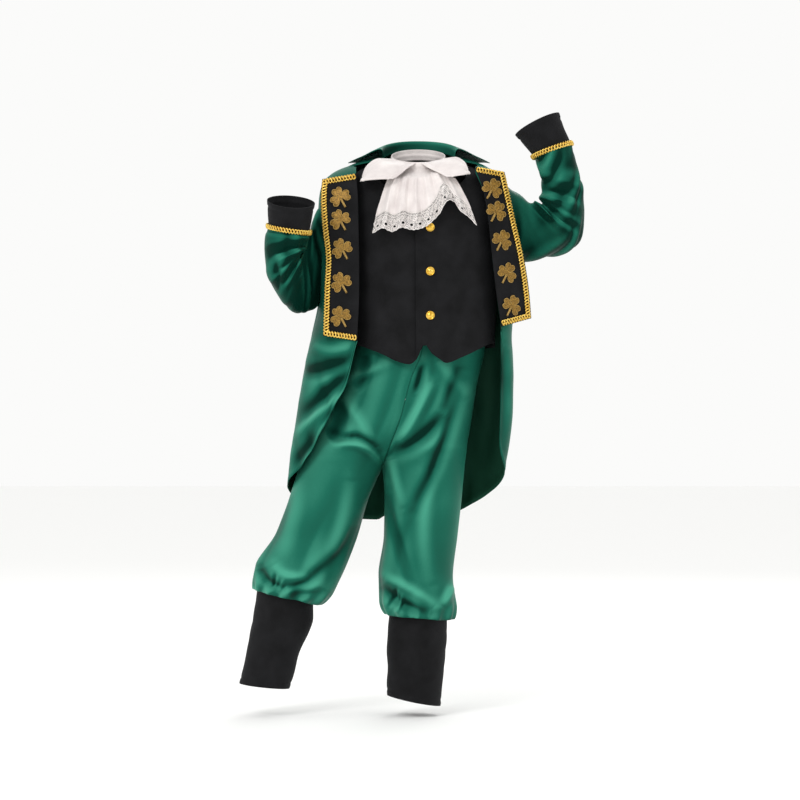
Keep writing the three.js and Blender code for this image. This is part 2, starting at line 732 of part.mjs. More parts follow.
function addVest() {
  for (const { side, label } of SIDES) {
    const inward = side === RIGHT ? 1 : -1;
    const front = wall(vestFront(side), 8, 10, { inward, straighten: atSideSeam });
    piece(`vest_front_${label}`, cut(front, armhole(side)), MATERIALS.black);
  }
  const back = wall(vestBack, 14, 8, { inward: -1, straighten: atBothSides });
  piece("vest_back", cut(back, armhole(RIGHT), armhole(LEFT)), MATERIALS.black);
  BUTTONS.forEach((place, index) => piece(`button_${index + 1}`, button(place), MATERIALS.brass));
}

// Neckwear: a stand round the neck, two leaves, and a waved jabot edged with lace.

const NECK = { x: 8, y: 3, radius: 40, flare: 3, z: 26, lean: 0.32, tall: 17 };

function standPoint(u, v) {
  const turn = u * Math.PI * 2;
  const radius = NECK.radius + NECK.flare * v;
  const y = NECK.y + radius * Math.sin(turn);
  return new THREE.Vector3(NECK.x + radius * Math.cos(turn), y, NECK.z + NECK.lean * y + NECK.tall * (1 - v));
}

// Each leaf: a row from the neck outward, with its front end and its shoulder end.
const LEAF = ["row", "frontX", "frontY", "frontZ", "backX", "backY", "backZ"];
const LEAVES = {
  [RIGHT]: table(LEAF, [
    [0, 4, -37.1, 29.5, -29.2, -12, 38],
    [1, -7, -56, 22, -50, -22, 38],
    [2, -20, -70, 10, -70, -42, 24],
    [3, -30, -77, 3, -78, -66, 0],
  ]),
  [LEFT]: table(LEAF, [
    [0, 12, -37.1, 29.5, 45.2, -12, 38],
    [1, 22, -56, 22, 62, -22, 40],
    [2, 40, -70, 12, 76, -38, 32],
    [3, 50, -77, 6, 84, -60, 12],
  ]),
};

const LEAF_BOW = { neck: 6.4, growth: 6, sideways: 0.6, ahead: 0.8 };

/** A collar leaf, bowed out between its front end and its shoulder end. */
function leafPoint(side, u, v) {
  const at = (name) => read(LEAVES[side], "row", name, v * 3);
  const front = new THREE.Vector3(at("frontX"), at("frontY"), at("frontZ"));
  const back = new THREE.Vector3(at("backX"), at("backY"), at("backZ"));
  const bow = 4 * u * (1 - u) * (LEAF_BOW.neck + LEAF_BOW.growth * v);
  const point = front.lerp(back, u);
  return point.add(new THREE.Vector3(side * bow * LEAF_BOW.sideways, -bow * LEAF_BOW.ahead, 0));
}

const JABOT_HEM = table(["x", "z"], [
  [-60, -77], [-45, -70], [-31, -75], [-16, -69], [0, -73], [19, -67], [30, -58], [40, -46], [46, -34],
  [54, -28], [61, -31], [69, -44], [82, -53], [93, -66],
]);
// The gathered top edge, its waves, its lace, and how far ahead of the chest it hangs at its top and hem.
const JABOT = {
  top: 21,
  left: -22,
  right: 38,
  hemLeft: -60,
  hemRight: 93,
  waves: 6.5,
  wave: 5,
  gathered: 0.2,
  lean: 0.8,
  lace: 25,
  close: 4.5,
  ahead: 18,
  thickness: 1.2,
  chestLeft: -50,
  chestRight: 76,
  chestTop: 10,
  clears: { from: 0.25, to: 0.7 },
  neck: 0.18,
};
const LACE_HOLES = { size: 2.5, drop: 7, count: 12, reach: 9 };

/** A point of the jabot: u across it and drop in millimetres up from its hem; top is its gathered edge. */
function jabotPoint(u, share, drop) {
  const hemX = mix(JABOT.hemLeft, JABOT.hemRight, u);
  const hemZ = read(JABOT_HEM, "x", "z", hemX);
  const high = JABOT.top;
  const low = hemZ + drop;
  const z = mix(high, low, share);
  const fall = (high - z) / (high - hemZ);
  const x = mix(mix(JABOT.left, JABOT.right, u), hemX, Math.sqrt(fall));
  const chestX = THREE.MathUtils.clamp(x, JABOT.chestLeft, JABOT.chestRight);
  const chest = frontAt(VEST_RINGS, VEST_SQUARE, chestX, Math.min(z, JABOT.chestTop));
  const cleared = THREE.MathUtils.smoothstep(fall, JABOT.clears.from, JABOT.clears.to);
  const ahead = mix(JABOT.close, JABOT.ahead, cleared);
  const swing = Math.sin(2 * Math.PI * JABOT.waves * u + JABOT.lean * fall);
  const wave = JABOT.wave * mix(JABOT.gathered, 1, fall) * swing;
  const radius = NECK.radius + CLOTH + CLEAR;
  const neck = NECK.y - Math.sqrt(Math.max(radius ** 2 - (x - NECK.x) ** 2, 0));
  const y = mix(neck, chest - ahead + wave, THREE.MathUtils.smoothstep(fall, 0, JABOT.neck));
  return new THREE.Vector3(x, y, z);
}

/** The largest round gaps of the lace, in a row that follows its hem. */
function laceHoles() {
  const { size, drop, count, reach } = LACE_HOLES;
  return Array.from({ length: count }, (_, index) => {
    const centre = jabotPoint((index + 0.5) / count, 1, drop);
    return filled((u, v) => {
      const turn = u * Math.PI * 2;
      const y = centre.y + mix(-reach, reach, v);
      return new THREE.Vector3(centre.x + size * Math.cos(turn), y, centre.z + size * Math.sin(turn));
    }, 6, 1, 0);
  });
}

function addNeckwear() {
  piece("collar_stand", wall(standPoint, 20, 1, { ringed: true, inward: 1 }), MATERIALS.white);
  for (const { side, label } of SIDES) {
    const leaf = wall((u, v) => leafPoint(side, u, v), 7, 4, { inward: side === RIGHT ? 1 : -1 });
    piece(`collar_leaf_${label}`, leaf, MATERIALS.white);
  }
  const { thickness, lace } = JABOT;
  const body = sheet((u, v) => jabotPoint(u, v, lace + SEAM), 28, 4, 0, thickness);
  const edge = sheet((u, v) => jabotPoint(u, 1, mix(lace - SEAM, 0, v)), 28, 2, 0, thickness);
  piece("jabot", body, MATERIALS.white);
  piece("jabot_lace", cut(edge, ...laceHoles()), MATERIALS.white);
}

// Breeches: each leg is a stack of rings. seam is the angle at which a ring meets the centre seam.

const LEG = ["row", "z", "outer", "inner", "seam", "front", "back", "y", "lean"];
const LEGS = {
  [RIGHT]: table(LEG, [
    [0, -196, -80, 16, 90, 70, 58, 0, 0],
    [1, -245, -88, 13, 93, 74, 66, 0, 0],
    [2, -293, -108, -4, 98, 77, 74, 1, 0],
    [3, -350, -138, -19, 110, 78, 78, 2, 0],
    [4, -392, -160, -35, 134, 77, 78, 3, 0],
    [5, -412, -168, -42, 158, 73, 75, 4, 0],
    [6, -424, -172, -46, 179.5, 70, 72, 4, 0],
    [7, -467, -183, -66, 180, 66, 70, 4, -2],
    [8, -525, -204, -84, 180, 64, 68, 4, -5],
    [9, -578, -236, -107, 180, 66, 70, 5, -9],
    [10, -606, -240, -124, 180, 62, 66, 6, -12],
    [11, -618, -239, -139, 180, 50, 54, 7, -12],
    [12, -610, -234.3, -147.7, 180, 42, 46, 7, -12],
  ]),
  [LEFT]: table(LEG, [
    [0, -196, 112, 16, 90, 70, 58, 0, 0],
    [1, -245, 108, 13, 93, 74, 66, 0, 0],
    [2, -293, 97, -4, 98, 77, 74, 1, 0],
    [3, -350, 88, -19, 110, 78, 78, 2, 0],
    [4, -392, 81, -35, 134, 77, 78, 3, 0],
    [5, -412, 79, -42, 158, 73, 75, 4, 0],
    [6, -424, 77, -46, 179.5, 70, 72, 4, 0],
    [7, -467, 73, -43, 180, 68, 70, 4, 0],
    [8, -525, 67, -44, 180, 66, 68, 4, 0],
    [9, -585, 60, -52, 180, 66, 70, 5, 2],
    [10, -628, 65, -50, 180, 62, 66, 6, 4],
    [11, -648, 60, -41, 180, 50, 54, 7, 4],
    [12, -640, 54.3, -36.3, 180, 42, 46, 7, 4],
  ]),
};
const GATHERS = { count: 12, depth: 3, from: 9.2, to: 10.6, gone: 12, faded: 0.85 };
const LEG_TUBE = ["row", "z", "outer", "inner", "front", "back", "y", "lean"];
const LEG_TUBES = {
  [RIGHT]: table(LEG_TUBE, [
    [0, -604, -232.5, -149.5, 40.2, 44.2, 7, -12],
    [1, -640, -236.5, -150, 37, 42, 8, -10],
    [2, -690, -247, -168, 35, 44, 10, -6],
    [3, -752, -261, -186, 36, 46, 12, -4],
  ]),
  [LEFT]: table(LEG_TUBE, [
    [0, -634, 52.5, -34.5, 40.2, 44.2, 7, 4],
    [1, -670, 51, -37, 37, 43, 8, 4],
    [2, -720, 46, -39, 36, 44, 10, 5],
    [3, -774, 41, -39, 38, 46, 12, 8],
  ]),
};

/** A point of a ring given by its outer and inner edges; the angle is 0 outside and turns to the front. */
function legRing(rows, side, row, angle, seam, swell) {
  const at = (name) => read(rows, "row", name, row);
  const spread = radians(seam);
  const half = Math.abs(at("outer") - at("inner")) / (1 - Math.cos(spread));
  const middle = at("outer") - side * half;
  const turn = radians(angle);
  const depth = angle >= 0 ? at("front") : at("back");
  const x = middle + side * (half + swell) * Math.cos(turn);
  const y = at("y") - (depth + swell) * Math.sin(turn);
  return new THREE.Vector3(x, y, at("z") - at("lean") * Math.cos(turn));
}

/** The gathers below the knee, as ripples that begin above the elastic. */
function gather(angle, row) {
  const rise = THREE.MathUtils.smoothstep(row, GATHERS.from, GATHERS.to);
  const fade = 1 - GATHERS.faded * THREE.MathUtils.smoothstep(row, GATHERS.to, GATHERS.gone);
  return GATHERS.depth * rise * fade * Math.cos(radians(angle * GATHERS.count));
}

/** One panel of the breeches: facing is 1 at the front and -1 at the back. */
function breechesPanel(side, facing) {
  return (u, v) => {
    const row = v * 12;
    const seam = read(LEGS[side], "row", "seam", row);
    const angle = facing * u * seam;
    const point = legRing(LEGS[side], side, row, angle, seam, gather(angle, row));
    point.x += side * SEAM * u;
    return point;
  };
}

const WAISTBAND = { tall: 26, top: -169.8, half: 96, middle: 16, front: 70, back: 58 };

function waistbandPoint(u, v) {
  const turn = u * Math.PI * 2;
  const { middle, half, front, back, top, tall } = WAISTBAND;
  const y = Math.sin(turn) * (Math.sin(turn) < 0 ? front : back);
  return new THREE.Vector3(middle + half * Math.cos(turn), y, top - tall * v);
}

function addBreeches() {
  for (const { side, label } of SIDES) {
    const inward = side === RIGHT ? 1 : -1;
    for (const { facing, face } of [{ facing: 1, face: "front" }, { facing: -1, face: "back" }]) {
      const options = { inward: facing * inward, straighten: atLegSeams };
      const panel = wall(breechesPanel(side, facing), 12, 16, options);
      piece(`breeches_${face}_${label}`, panel, MATERIALS.velour);
    }
    const tube = (u, v) => {
      const angle = u < 0.5 ? u * 360 : u * 360 - 360;
      return legRing(LEG_TUBES[side], side, v * 3, angle, 180, 0);
    };
    piece(`leg_tube_${label}`, wall(tube, 18, 3, { ringed: true, inward }), MATERIALS.black);
  }
  piece("waistband", wall(waistbandPoint, 24, 1, { ringed: true, inward: 1 }), MATERIALS.velour);
}

addCoat();
addLapels();
piece("coat_collar", wall(collarPoint, 20, 6, { inward: 1 }), MATERIALS.velour);
addVest();
addNeckwear();
addBreeches();

export default costume;
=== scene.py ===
"""The looks of an Irish stage costume in its worn shape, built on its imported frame.

Sizes inside the functions are millimetres in the frame's axes; a mesh gets them in metres.
Right and left are as worn: right is -X. The front faces -Y.
"""
import logging
import math
from dataclasses import dataclass
from enum import Enum
from typing import Callable, Optional, Sequence

import bmesh
import bpy
import numpy as np
from mathutils import Matrix, Vector
from mathutils.bvhtree import BVHTree


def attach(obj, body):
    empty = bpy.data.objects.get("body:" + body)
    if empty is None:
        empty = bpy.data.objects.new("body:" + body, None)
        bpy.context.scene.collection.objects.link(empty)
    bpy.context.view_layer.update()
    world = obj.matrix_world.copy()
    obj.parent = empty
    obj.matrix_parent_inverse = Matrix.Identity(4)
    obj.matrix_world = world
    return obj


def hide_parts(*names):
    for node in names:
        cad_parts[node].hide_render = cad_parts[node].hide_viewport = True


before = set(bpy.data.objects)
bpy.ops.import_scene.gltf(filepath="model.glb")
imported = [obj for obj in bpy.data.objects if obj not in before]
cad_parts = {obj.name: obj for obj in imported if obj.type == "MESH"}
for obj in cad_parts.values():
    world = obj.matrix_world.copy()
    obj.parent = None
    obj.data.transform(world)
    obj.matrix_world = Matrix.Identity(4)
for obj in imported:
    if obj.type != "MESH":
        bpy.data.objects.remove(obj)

LOG = logging.getLogger("costume")
MM = 0.001
CLOTH = 1.1
# Painted shade and light in the velour's folds: how far a fold reaches, how much its troughs are painted
# darker and its ridges lighter, the way the painted light comes from, and how many smoothing passes find the
# folds.
SHADE_REACH = 20.0
SHADE_HEIGHT = 2.2
SHADE_TILT = 3.2
PAINTED_LIGHT_FROM = (-0.55, -0.1, 0.8)
SHADE_BY_HEIGHT, SHADE_BY_TILT = 0.17, 0.26
SHADE_PASSES = 240
RAY_WAY, RAY_STEP, RAY_MOST = (0.31, -0.9, 0.29), 0.01, 12
SEAM_SHARE = 0.07
STITCH_IN, STITCH_WIDE, STITCH_DEPTH = 9.0, 2.2, 0.7
HEM_WIDE, HEM_RISE = 7.0, 0.5
BODY = "root"
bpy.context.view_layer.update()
Surface = Callable[[np.ndarray, np.ndarray], np.ndarray]


class Side(Enum):
    """A side of the costume as worn, with the sign of its X."""

    RIGHT = -1
    LEFT = 1

    @property
    def label(self) -> str:
        """The side's word in node names."""
        return self.name.lower()


class Table:
    """Rows of numbers under named columns, read on a smooth curve that never overshoots them."""

    def __init__(self, names: str, rows: Sequence[Sequence[float]]) -> None:
        """Keeps the rows as columns.

        Args:
            names: the columns' names, in one string.
            rows: the numbers, row by row.
        """
        self.names = names.split()
        self.columns = {name: np.array([row[i] for row in rows], float)
                        for i, name in enumerate(self.names)}

    def at(self, name: str, where: np.ndarray, key: Optional[str] = None) -> np.ndarray:
        """Reads a column.

        Args:
            name: the column to read.
            where: values of the key column.
            key: the key column, or None for the first one.

        Returns:
            The column's values there.
        """
        keys = self.columns[key or self.names[0]]
        values = self.columns[name]
        if keys[0] > keys[-1]:
            keys, values = keys[::-1], values[::-1]
        rise = np.diff(values) / np.diff(keys)
        low, high = rise[:-1], rise[1:]
        same = low * high > 0
        inner = np.where(same, 2 * low * high / np.where(same, low + high, 1.0), 0.0)
        slope = np.concatenate([rise[:1], inner, rise[-1:]])
        x = np.clip(where, keys[0], keys[-1])
        i = np.clip(np.searchsorted(keys, x, side="right") - 1, 0, len(keys) - 2)
        span = keys[i + 1] - keys[i]
        t = (x - keys[i]) / span
        start = (2 * t**3 - 3 * t**2 + 1) * values[i] + (t**3 - 2 * t**2 + t) * span * slope[i]
        end = (3 * t**2 - 2 * t**3) * values[i + 1] + (t**3 - t**2) * span * slope[i + 1]
        return start + end


def smoothstep(x: np.ndarray, low: float, high: float) -> np.ndarray:
    """A soft step from 0 at low to 1 at high."""
    t = np.clip((x - low) / (high - low), 0.0, 1.0)
    return t * t * (3 - 2 * t)


def mix(a: np.ndarray, b: np.ndarray, t: np.ndarray) -> np.ndarray:
    """The value a share of the way from a to b."""
    return a + (b - a) * t


def signed_power(value: np.ndarray, power: float) -> np.ndarray:
    """A power that keeps the sign."""
    return np.sign(value) * np.abs(value) ** power


# Rings of the upper body, from the neck down. lean drops the front of a ring and lifts its back.

RING = "level z middle half front back lean"
COAT_SQUARE = 2.7
VEST_SQUARE = 2.4
COAT_RINGS = Table(RING, [
    (0, 38, 9, 53, 46, 52, 0.3), (1, 33, 8, 82, 53, 60, 0.24), (2, 24, 5, 112, 60, 67, 0.14),
    (3, 6, 2, 135, 70, 73, 0.05), (4, -22, 3, 144, 79, 79, 0), (5, -60, 5, 147, 87, 82, 0),
    (6, -110, 6, 147, 93, 82, 0), (7, -170, 5, 147, 96, 80, 0), (8, -225, -2, 150, 95, 83, 0),
    (9, -290, -8, 157, 95, 91, 0), (10, -363, -16, 159, 95, 99, 0), (11, -435, -25, 158, 95, 104, 0),
    (12, -515, -30, 155, 95, 108, 0),
])
VEST_RINGS = Table(RING, [
    (0, 30, 9, 50, 44, 47, 0.3), (1, 25, 9, 80, 50, 54, 0.24), (2, 14, 11, 100, 58, 60, 0.12),
    (3, -10, 13, 110, 68, 65, 0.03), (4, -60, 14, 112, 79, 69, 0), (5, -120, 15, 112, 86, 70, 0),
    (6, -180, 15, 110, 88, 70, 0), (7, -235, 15, 108, 89, 74, 0), (8, -285, 14, 108, 90, 77, 0),
])


def level_at(rings: Table, z: np.ndarray) -> np.ndarray:
    """The level at which a table of rings reaches a height."""
    levels = np.linspace(0, rings.columns["level"][-1], 600)
    return np.interp(-np.asarray(z, float), -rings.at("z", levels), levels)


def ring_point(rings: Table, square: float, side: Side, angle: np.ndarray, level: np.ndarray) -> np.ndarray:
    """Points of rings.

    Args:
        rings: the table of rings.
        square: how square the rings are; 2 is an ellipse.
        side: the side.
        angle: degrees from the side seam; 90 is the centre front and -90 the centre back.
        level: rows of the table.

    Returns:
        The points.
    """
    turn = np.radians(angle)
    depth = np.where(angle >= 0, rings.at("front", level), rings.at("back", level))
    across = signed_power(np.cos(turn), 2 / square)
    x = rings.at("middle", level) + side.value * rings.at("half", level) * across
    y = -depth * signed_power(np.sin(turn), 2 / square)
    return np.stack([x, y, rings.at("z", level) + rings.at("lean", level) * y], -1)


def angle_at(rings: Table, square: float, side: Side, x: np.ndarray, level: np.ndarray) -> np.ndarray:
    """The angle at which a ring reaches a distance across, on one side."""
    share = side.value * (x - rings.at("middle", level)) / rings.at("half", level)
    return np.degrees(np.arccos(np.clip(share, 0, 1) ** (square / 2)))


def front_at(rings: Table, square: float, x: np.ndarray, z: np.ndarray) -> np.ndarray:
    """How far forward the front of a table of rings lies at a place across and up.

    Args:
        rings: the table of rings.
        square: how square the rings are.
        x: places across.
        z: places up.

    Returns:
        The Y of each place.
    """
    level = level_at(rings, z)
    share = np.minimum(np.abs(x - rings.at("middle", level)) / rings.at("half", level), 0.98)
    return -rings.at("front", level) * (1 - share**square) ** (1 / square)


# Creases: soft troughs and ridges on curved lines, placed as seen from the front or the back. A row is the
# start, the bend and the end of a line, each across and up, then its depth and its width.

def crease_field(creases: Sequence[Sequence[float]], x: np.ndarray, z: np.ndarray) -> np.ndarray:
    """How far creases move places of a cloth out.

    Args:
        creases: rows of x0, z0, x1, z1, x2, z2, depth and width; a negative depth is a trough.
        x: places across.
        z: places up.

    Returns:
        The distances, in the shape of x.
    """
    total = np.zeros_like(x)
    steps = np.linspace(0, 1, 15)
    for x0, z0, x1, z1, x2, z2, depth, width in creases:
        line_x = (1 - steps) ** 2 * x0 + 2 * steps * (1 - steps) * x1 + steps**2 * x2
        line_z = (1 - steps) ** 2 * z0 + 2 * steps * (1 - steps) * z1 + steps**2 * z2
        nearest = np.full(x.shape, 1e9)
        along = np.zeros(x.shape)
        for k in range(len(steps) - 1):
            dx, dz = line_x[k + 1] - line_x[k], line_z[k + 1] - line_z[k]
            t = np.clip(((x - line_x[k]) * dx + (z - line_z[k]) * dz) / (dx * dx + dz * dz), 0, 1)
            away = np.hypot(x - line_x[k] - t * dx, z - line_z[k] - t * dz)
            closer = away < nearest
            nearest = np.where(closer, away, nearest)
            along = np.where(closer, steps[k] + t / (len(steps) - 1), along)
        q = (nearest / width) ** 2
        taper = np.sin(np.pi * np.clip(along, 0.02, 0.98)) ** 0.6
        total += depth * taper * (1 - 0.55 * q) * np.exp(-q)
    return total


def flutter(points: np.ndarray, size: float, depth: float, seed: float) -> np.ndarray:
    """A faint uneven rise and fall over cloth, from a few crossed waves of about one size.

    Args:
        points: places of the cloth.
        size: the size of the waves over a full turn.
        depth: how high they are.
        seed: shifts the waves of one sheet against those of the next.

    Returns:
        The distances.
    """
    x, y, z = points[..., 0] + 37 * seed, points[..., 1], points[..., 2] - 53 * seed
    waves = np.sin((x + 0.4 * z + 0.5 * y) / size + 2.1 * np.sin(z / (2.3 * size)))
    waves = waves + np.sin((0.7 * z - 0.5 * x + y) / (0.8 * size) + 1.7 * np.sin(x / (1.9 * size) + seed))
    return depth * 0.5 * waves


def drape(points: np.ndarray, run: Sequence[float], size: float, depth: float, seed: float) -> np.ndarray:
    """How far long uneven folds move a cloth out.

    Args:
        points: places of the cloth.
        run: the way the folds run, across and up.
        size: their spacing over a full turn of an angle.
        depth: how deep they are.
        seed: shifts the folds of one sheet against those of the next.

    Returns:
        The distances, in the shape of the grid.
    """
    x, y, z = points[..., 0], points[..., 1], points[..., 2]
    across = x * run[1] - z * run[0] + 0.45 * y
    along = x * run[0] + z * run[1]
    phase = across / size + 1.5 * np.sin(along / (6 * size) + seed)
    phase = phase + 0.9 * np.sin(across / (2.3 * size) + along / (9 * size) + 2 * seed)
    strength = 0.5 + 0.5 * np.sin(along / (4.5 * size) + 1.7 * np.sin(across / (3.1 * size)) + 1.3 * seed)
    fold = 2 * np.sqrt(np.sin(phase / 2) ** 2 + 0.03) - 1.2
    return depth * strength * fold


def normals_of(points: np.ndarray, ringed: bool) -> np.ndarray:
    """The unit normals of a grid of points, du cross dv.

    Args:
        points: the grid.
        ringed: whether its last column meets its first.

    Returns:
        The normals.
    """
    if ringed:
        du = np.roll(points, -1, 1) - np.roll(points, 1, 1)
    else:
        du = np.gradient(points, axis=1)
    dv = np.gradient(points, axis=0)
    cross = np.cross(du, dv)
    return cross / np.maximum(np.linalg.norm(cross, axis=-1, keepdims=True), 1e-9)


def blurred(values: np.ndarray, axis: int, ringed: bool) -> np.ndarray:
    """One pass of a three-point average along an axis of a grid.

    Args:
        values: the grid.
        axis: 0 down or 1 across.
        ringed: whether the axis meets itself.

    Returns:
        The averages; the ends of an open axis are kept.
    """
    before, after = np.roll(values, 1, axis), np.roll(values, -1, axis)
    result = (before + 2 * values + after) / 4
    if not ringed:
        first = [slice(None)] * values.ndim
        last = [slice(None)] * values.ndim
        first[axis], last[axis] = 0, -1
        result[tuple(first)], result[tuple(last)] = values[tuple(first)], values[tuple(last)]
    return result


# Colours and nodes

def linear(code: str, alpha: float = 1.0) -> tuple[float, float, float, float]:
    """A scene-linear colour from an sRGB hex code.

    Args:
        code: the hex code.
        alpha: the opacity.

    Returns:
        The colour's four numbers.
    """
    parts = [int(code[i:i + 2], 16) / 255 for i in (1, 3, 5)]
    curved = [p / 12.92 if p <= 0.04045 else ((p + 0.055) / 1.055) ** 2.4 for p in parts]
    return (curved[0], curved[1], curved[2], alpha)


def add_node(tree: bpy.types.NodeTree, kind: str, stops: Sequence[tuple[float, str]] = (),
             **inputs: object) -> bpy.types.Node:
    """Adds a shader node.

    Args:
        tree: the node tree.
        kind: the node's type.
        stops: the positions and hex codes of a colour ramp.
        **inputs: node properties by name, or sockets as in_NAME with spaces as underscores; a socket
            given an output is linked, one given a node is linked to its first output, and in_0 is the
            first socket.

    Returns:
        The node.
    """
    node = tree.nodes.new(kind)
    for name, value in inputs.items():
        if not name.startswith("in_"):
            setattr(node, name, value)
            continue
        key = name[3:]
        socket = node.inputs[int(key)] if key.isdigit() else node.inputs[key.replace("_", " ")]
        if isinstance(value, bpy.types.Node):
            value = value.outputs[0]
        if isinstance(value, bpy.types.NodeSocket):
            tree.links.new(value, socket)
        else:
            socket.default_value = value
    if stops:
        elements = node.color_ramp.elements
        while len(elements) < len(stops):
            elements.new(0.5)
        for element, (position, code) in zip(elements, stops):
            element.position = position
            element.color = linear(code)
    return node


@dataclass(frozen=True)
class Finish:
    """A material: its name and the slot it stands for."""

    name: str
    slot: str

    def build(self) -> bpy.types.Material:
        """Makes the material once, and gives the same one later.

        Returns:
            The material.
        """
        known = bpy.data.materials.get(self.name)
        if known:
            return known
        material = bpy.data.materials.new(self.name)
        material.use_nodes = True
        tree = material.node_tree
        tree.nodes.clear()
        output = add_node(tree, "ShaderNodeOutputMaterial")
        tree.links.new(self.shade(tree), output.inputs["Surface"])
        return material

    def shade(self, tree: bpy.types.NodeTree) -> bpy.types.NodeSocket:
        """Builds the nodes and gives the shader's output.

        Args:
            tree: the node tree.

        Returns:
            The shader's output.
        """
        raise NotImplementedError


@dataclass(frozen=True)
class Velour(Finish):
    """Pile cloth: a dark ground, painted darker in the troughs of its folds and lighter on its ridges and on
    the sides toward the light.

    Its patches and fibres are in millimetres.
    """

    # The ramp's colours: from dark, for painted shade in troughs, to light, for painted light on ridges.
    dark: str = "#05271f"
    middle: str = "#1c6150"
    light: str = "#45977f"
    sheen: float = 0.16
    rough: float = 0.42
    crushed: float = 111.1
    fibre: float = 1.111
    crushed_share: float = 0.25
    fibre_share: float = 0.1
    specular: float = 0.05
    sheen_rough: float = 0.3
    sheen_tint: str = "#3f9a7e"
    specular_tint: str = "#8fd9bd"

    def shade(self, tree: bpy.types.NodeTree) -> bpy.types.NodeSocket:
        """Builds the velour, with its painted fold shade.

        Args:
            tree: the node tree.

        Returns:
            The shader's output.
        """
        where = add_node(tree, "ShaderNodeTexCoord").outputs["Object"]
        crushed = add_node(tree, "ShaderNodeTexNoise", in_Vector=where, in_Detail=1.0,
                           in_Scale=1 / (self.crushed * MM))
        pile = add_node(tree, "ShaderNodeTexNoise", in_Vector=where, in_Detail=2.0,
                        in_Scale=1 / (self.fibre * MM))
        # The painted fold shade, with random crushed patches and tufts added, picks the colour.
        lies = add_node(tree, "ShaderNodeAttribute", attribute_name="nap").outputs["Fac"]
        patches_and_fold_shade = add_node(tree, "ShaderNodeMath", operation="MULTIPLY_ADD", in_0=crushed,
                           in_1=self.crushed_share, in_2=lies)
        shade = add_node(tree, "ShaderNodeMath", operation="MULTIPLY_ADD", in_0=pile,
                         in_1=self.fibre_share, in_2=patches_and_fold_shade)
        stops = ((0.36, self.dark), (0.66, self.middle), (0.98, self.light))
        colour = add_node(tree, "ShaderNodeValToRGB", stops, in_Fac=shade)
        bump = add_node(tree, "ShaderNodeBump", in_Height=pile, in_Strength=0.25,
                        in_Distance=0.4 * MM)
        skin = add_node(tree, "ShaderNodeBsdfPrincipled", in_Base_Color=colour, in_Roughness=self.rough,
                        in_Normal=bump.outputs["Normal"])
        skin.inputs["Sheen Weight"].default_value = self.sheen
        skin.inputs["Sheen Roughness"].default_value = self.sheen_rough
        skin.inputs["Sheen Tint"].default_value = linear(self.sheen_tint)
        skin.inputs["Specular IOR Level"].default_value = self.specular
        skin.inputs["Specular Tint"].default_value = linear(self.specular_tint)
        return skin.outputs[0]


@dataclass(frozen=True)
class Weave(Finish):
    """Plain woven cloth on its UV: threads over and under, with a soft sheen. Its sizes are millimetres."""

    dark: str = "#0c0c0d"
    light: str = "#1b1b1d"
    pitch: float = 0.6
    worn_patch: float = 28.57
    rough: float = 0.8
    sheen: float = 0.1
    tint: str = "#8b8d92"
    specular: float = 0.12

    def shade(self, tree: bpy.types.NodeTree) -> bpy.types.NodeSocket:
        """Builds the weave.

        Args:
            tree: the node tree.

        Returns:
            The shader's output.
        """
        uv = add_node(tree, "ShaderNodeUVMap", uv_map="cut")
        parts = add_node(tree, "ShaderNodeSeparateXYZ", in_0=uv)
        waves = []
        for axis in (0, 1):
            turn = add_node(tree, "ShaderNodeMath", operation="MULTIPLY", in_0=parts.outputs[axis],
                            in_1=math.tau / (self.pitch * MM))
            waves.append(add_node(tree, "ShaderNodeMath", operation="SINE", in_0=turn))
        weave = add_node(tree, "ShaderNodeMath", operation="MULTIPLY", in_0=waves[0], in_1=waves[1])
        height = add_node(tree, "ShaderNodeMath", operation="MULTIPLY_ADD", in_0=weave, in_1=0.5, in_2=0.5)
        where = add_node(tree, "ShaderNodeTexCoord").outputs["Object"]
        worn = add_node(tree, "ShaderNodeTexNoise", in_Vector=where, in_Detail=4.0,
                        in_Scale=1 / (self.worn_patch * MM))
        # Painted shade: the cloth is a little darker where its threads dip and lighter where they rise, over
        # the random worn patches.
        shade = add_node(tree, "ShaderNodeMath", operation="MULTIPLY_ADD", in_0=height, in_1=0.2, in_2=worn)
        colour = add_node(tree, "ShaderNodeValToRGB", ((0.35, self.dark), (0.85, self.light)), in_Fac=shade)
        bump = add_node(tree, "ShaderNodeBump", in_Height=height, in_Strength=0.4,
                        in_Distance=0.2 * MM)
        skin = add_node(tree, "ShaderNodeBsdfPrincipled", in_Base_Color=colour, in_Roughness=self.rough,
                        in_Normal=bump.outputs["Normal"])
        skin.inputs["Sheen Weight"].default_value = self.sheen
        skin.inputs["Sheen Tint"].default_value = linear(self.tint)
        skin.inputs["Specular IOR Level"].default_value = self.specular
        return skin.outputs[0]


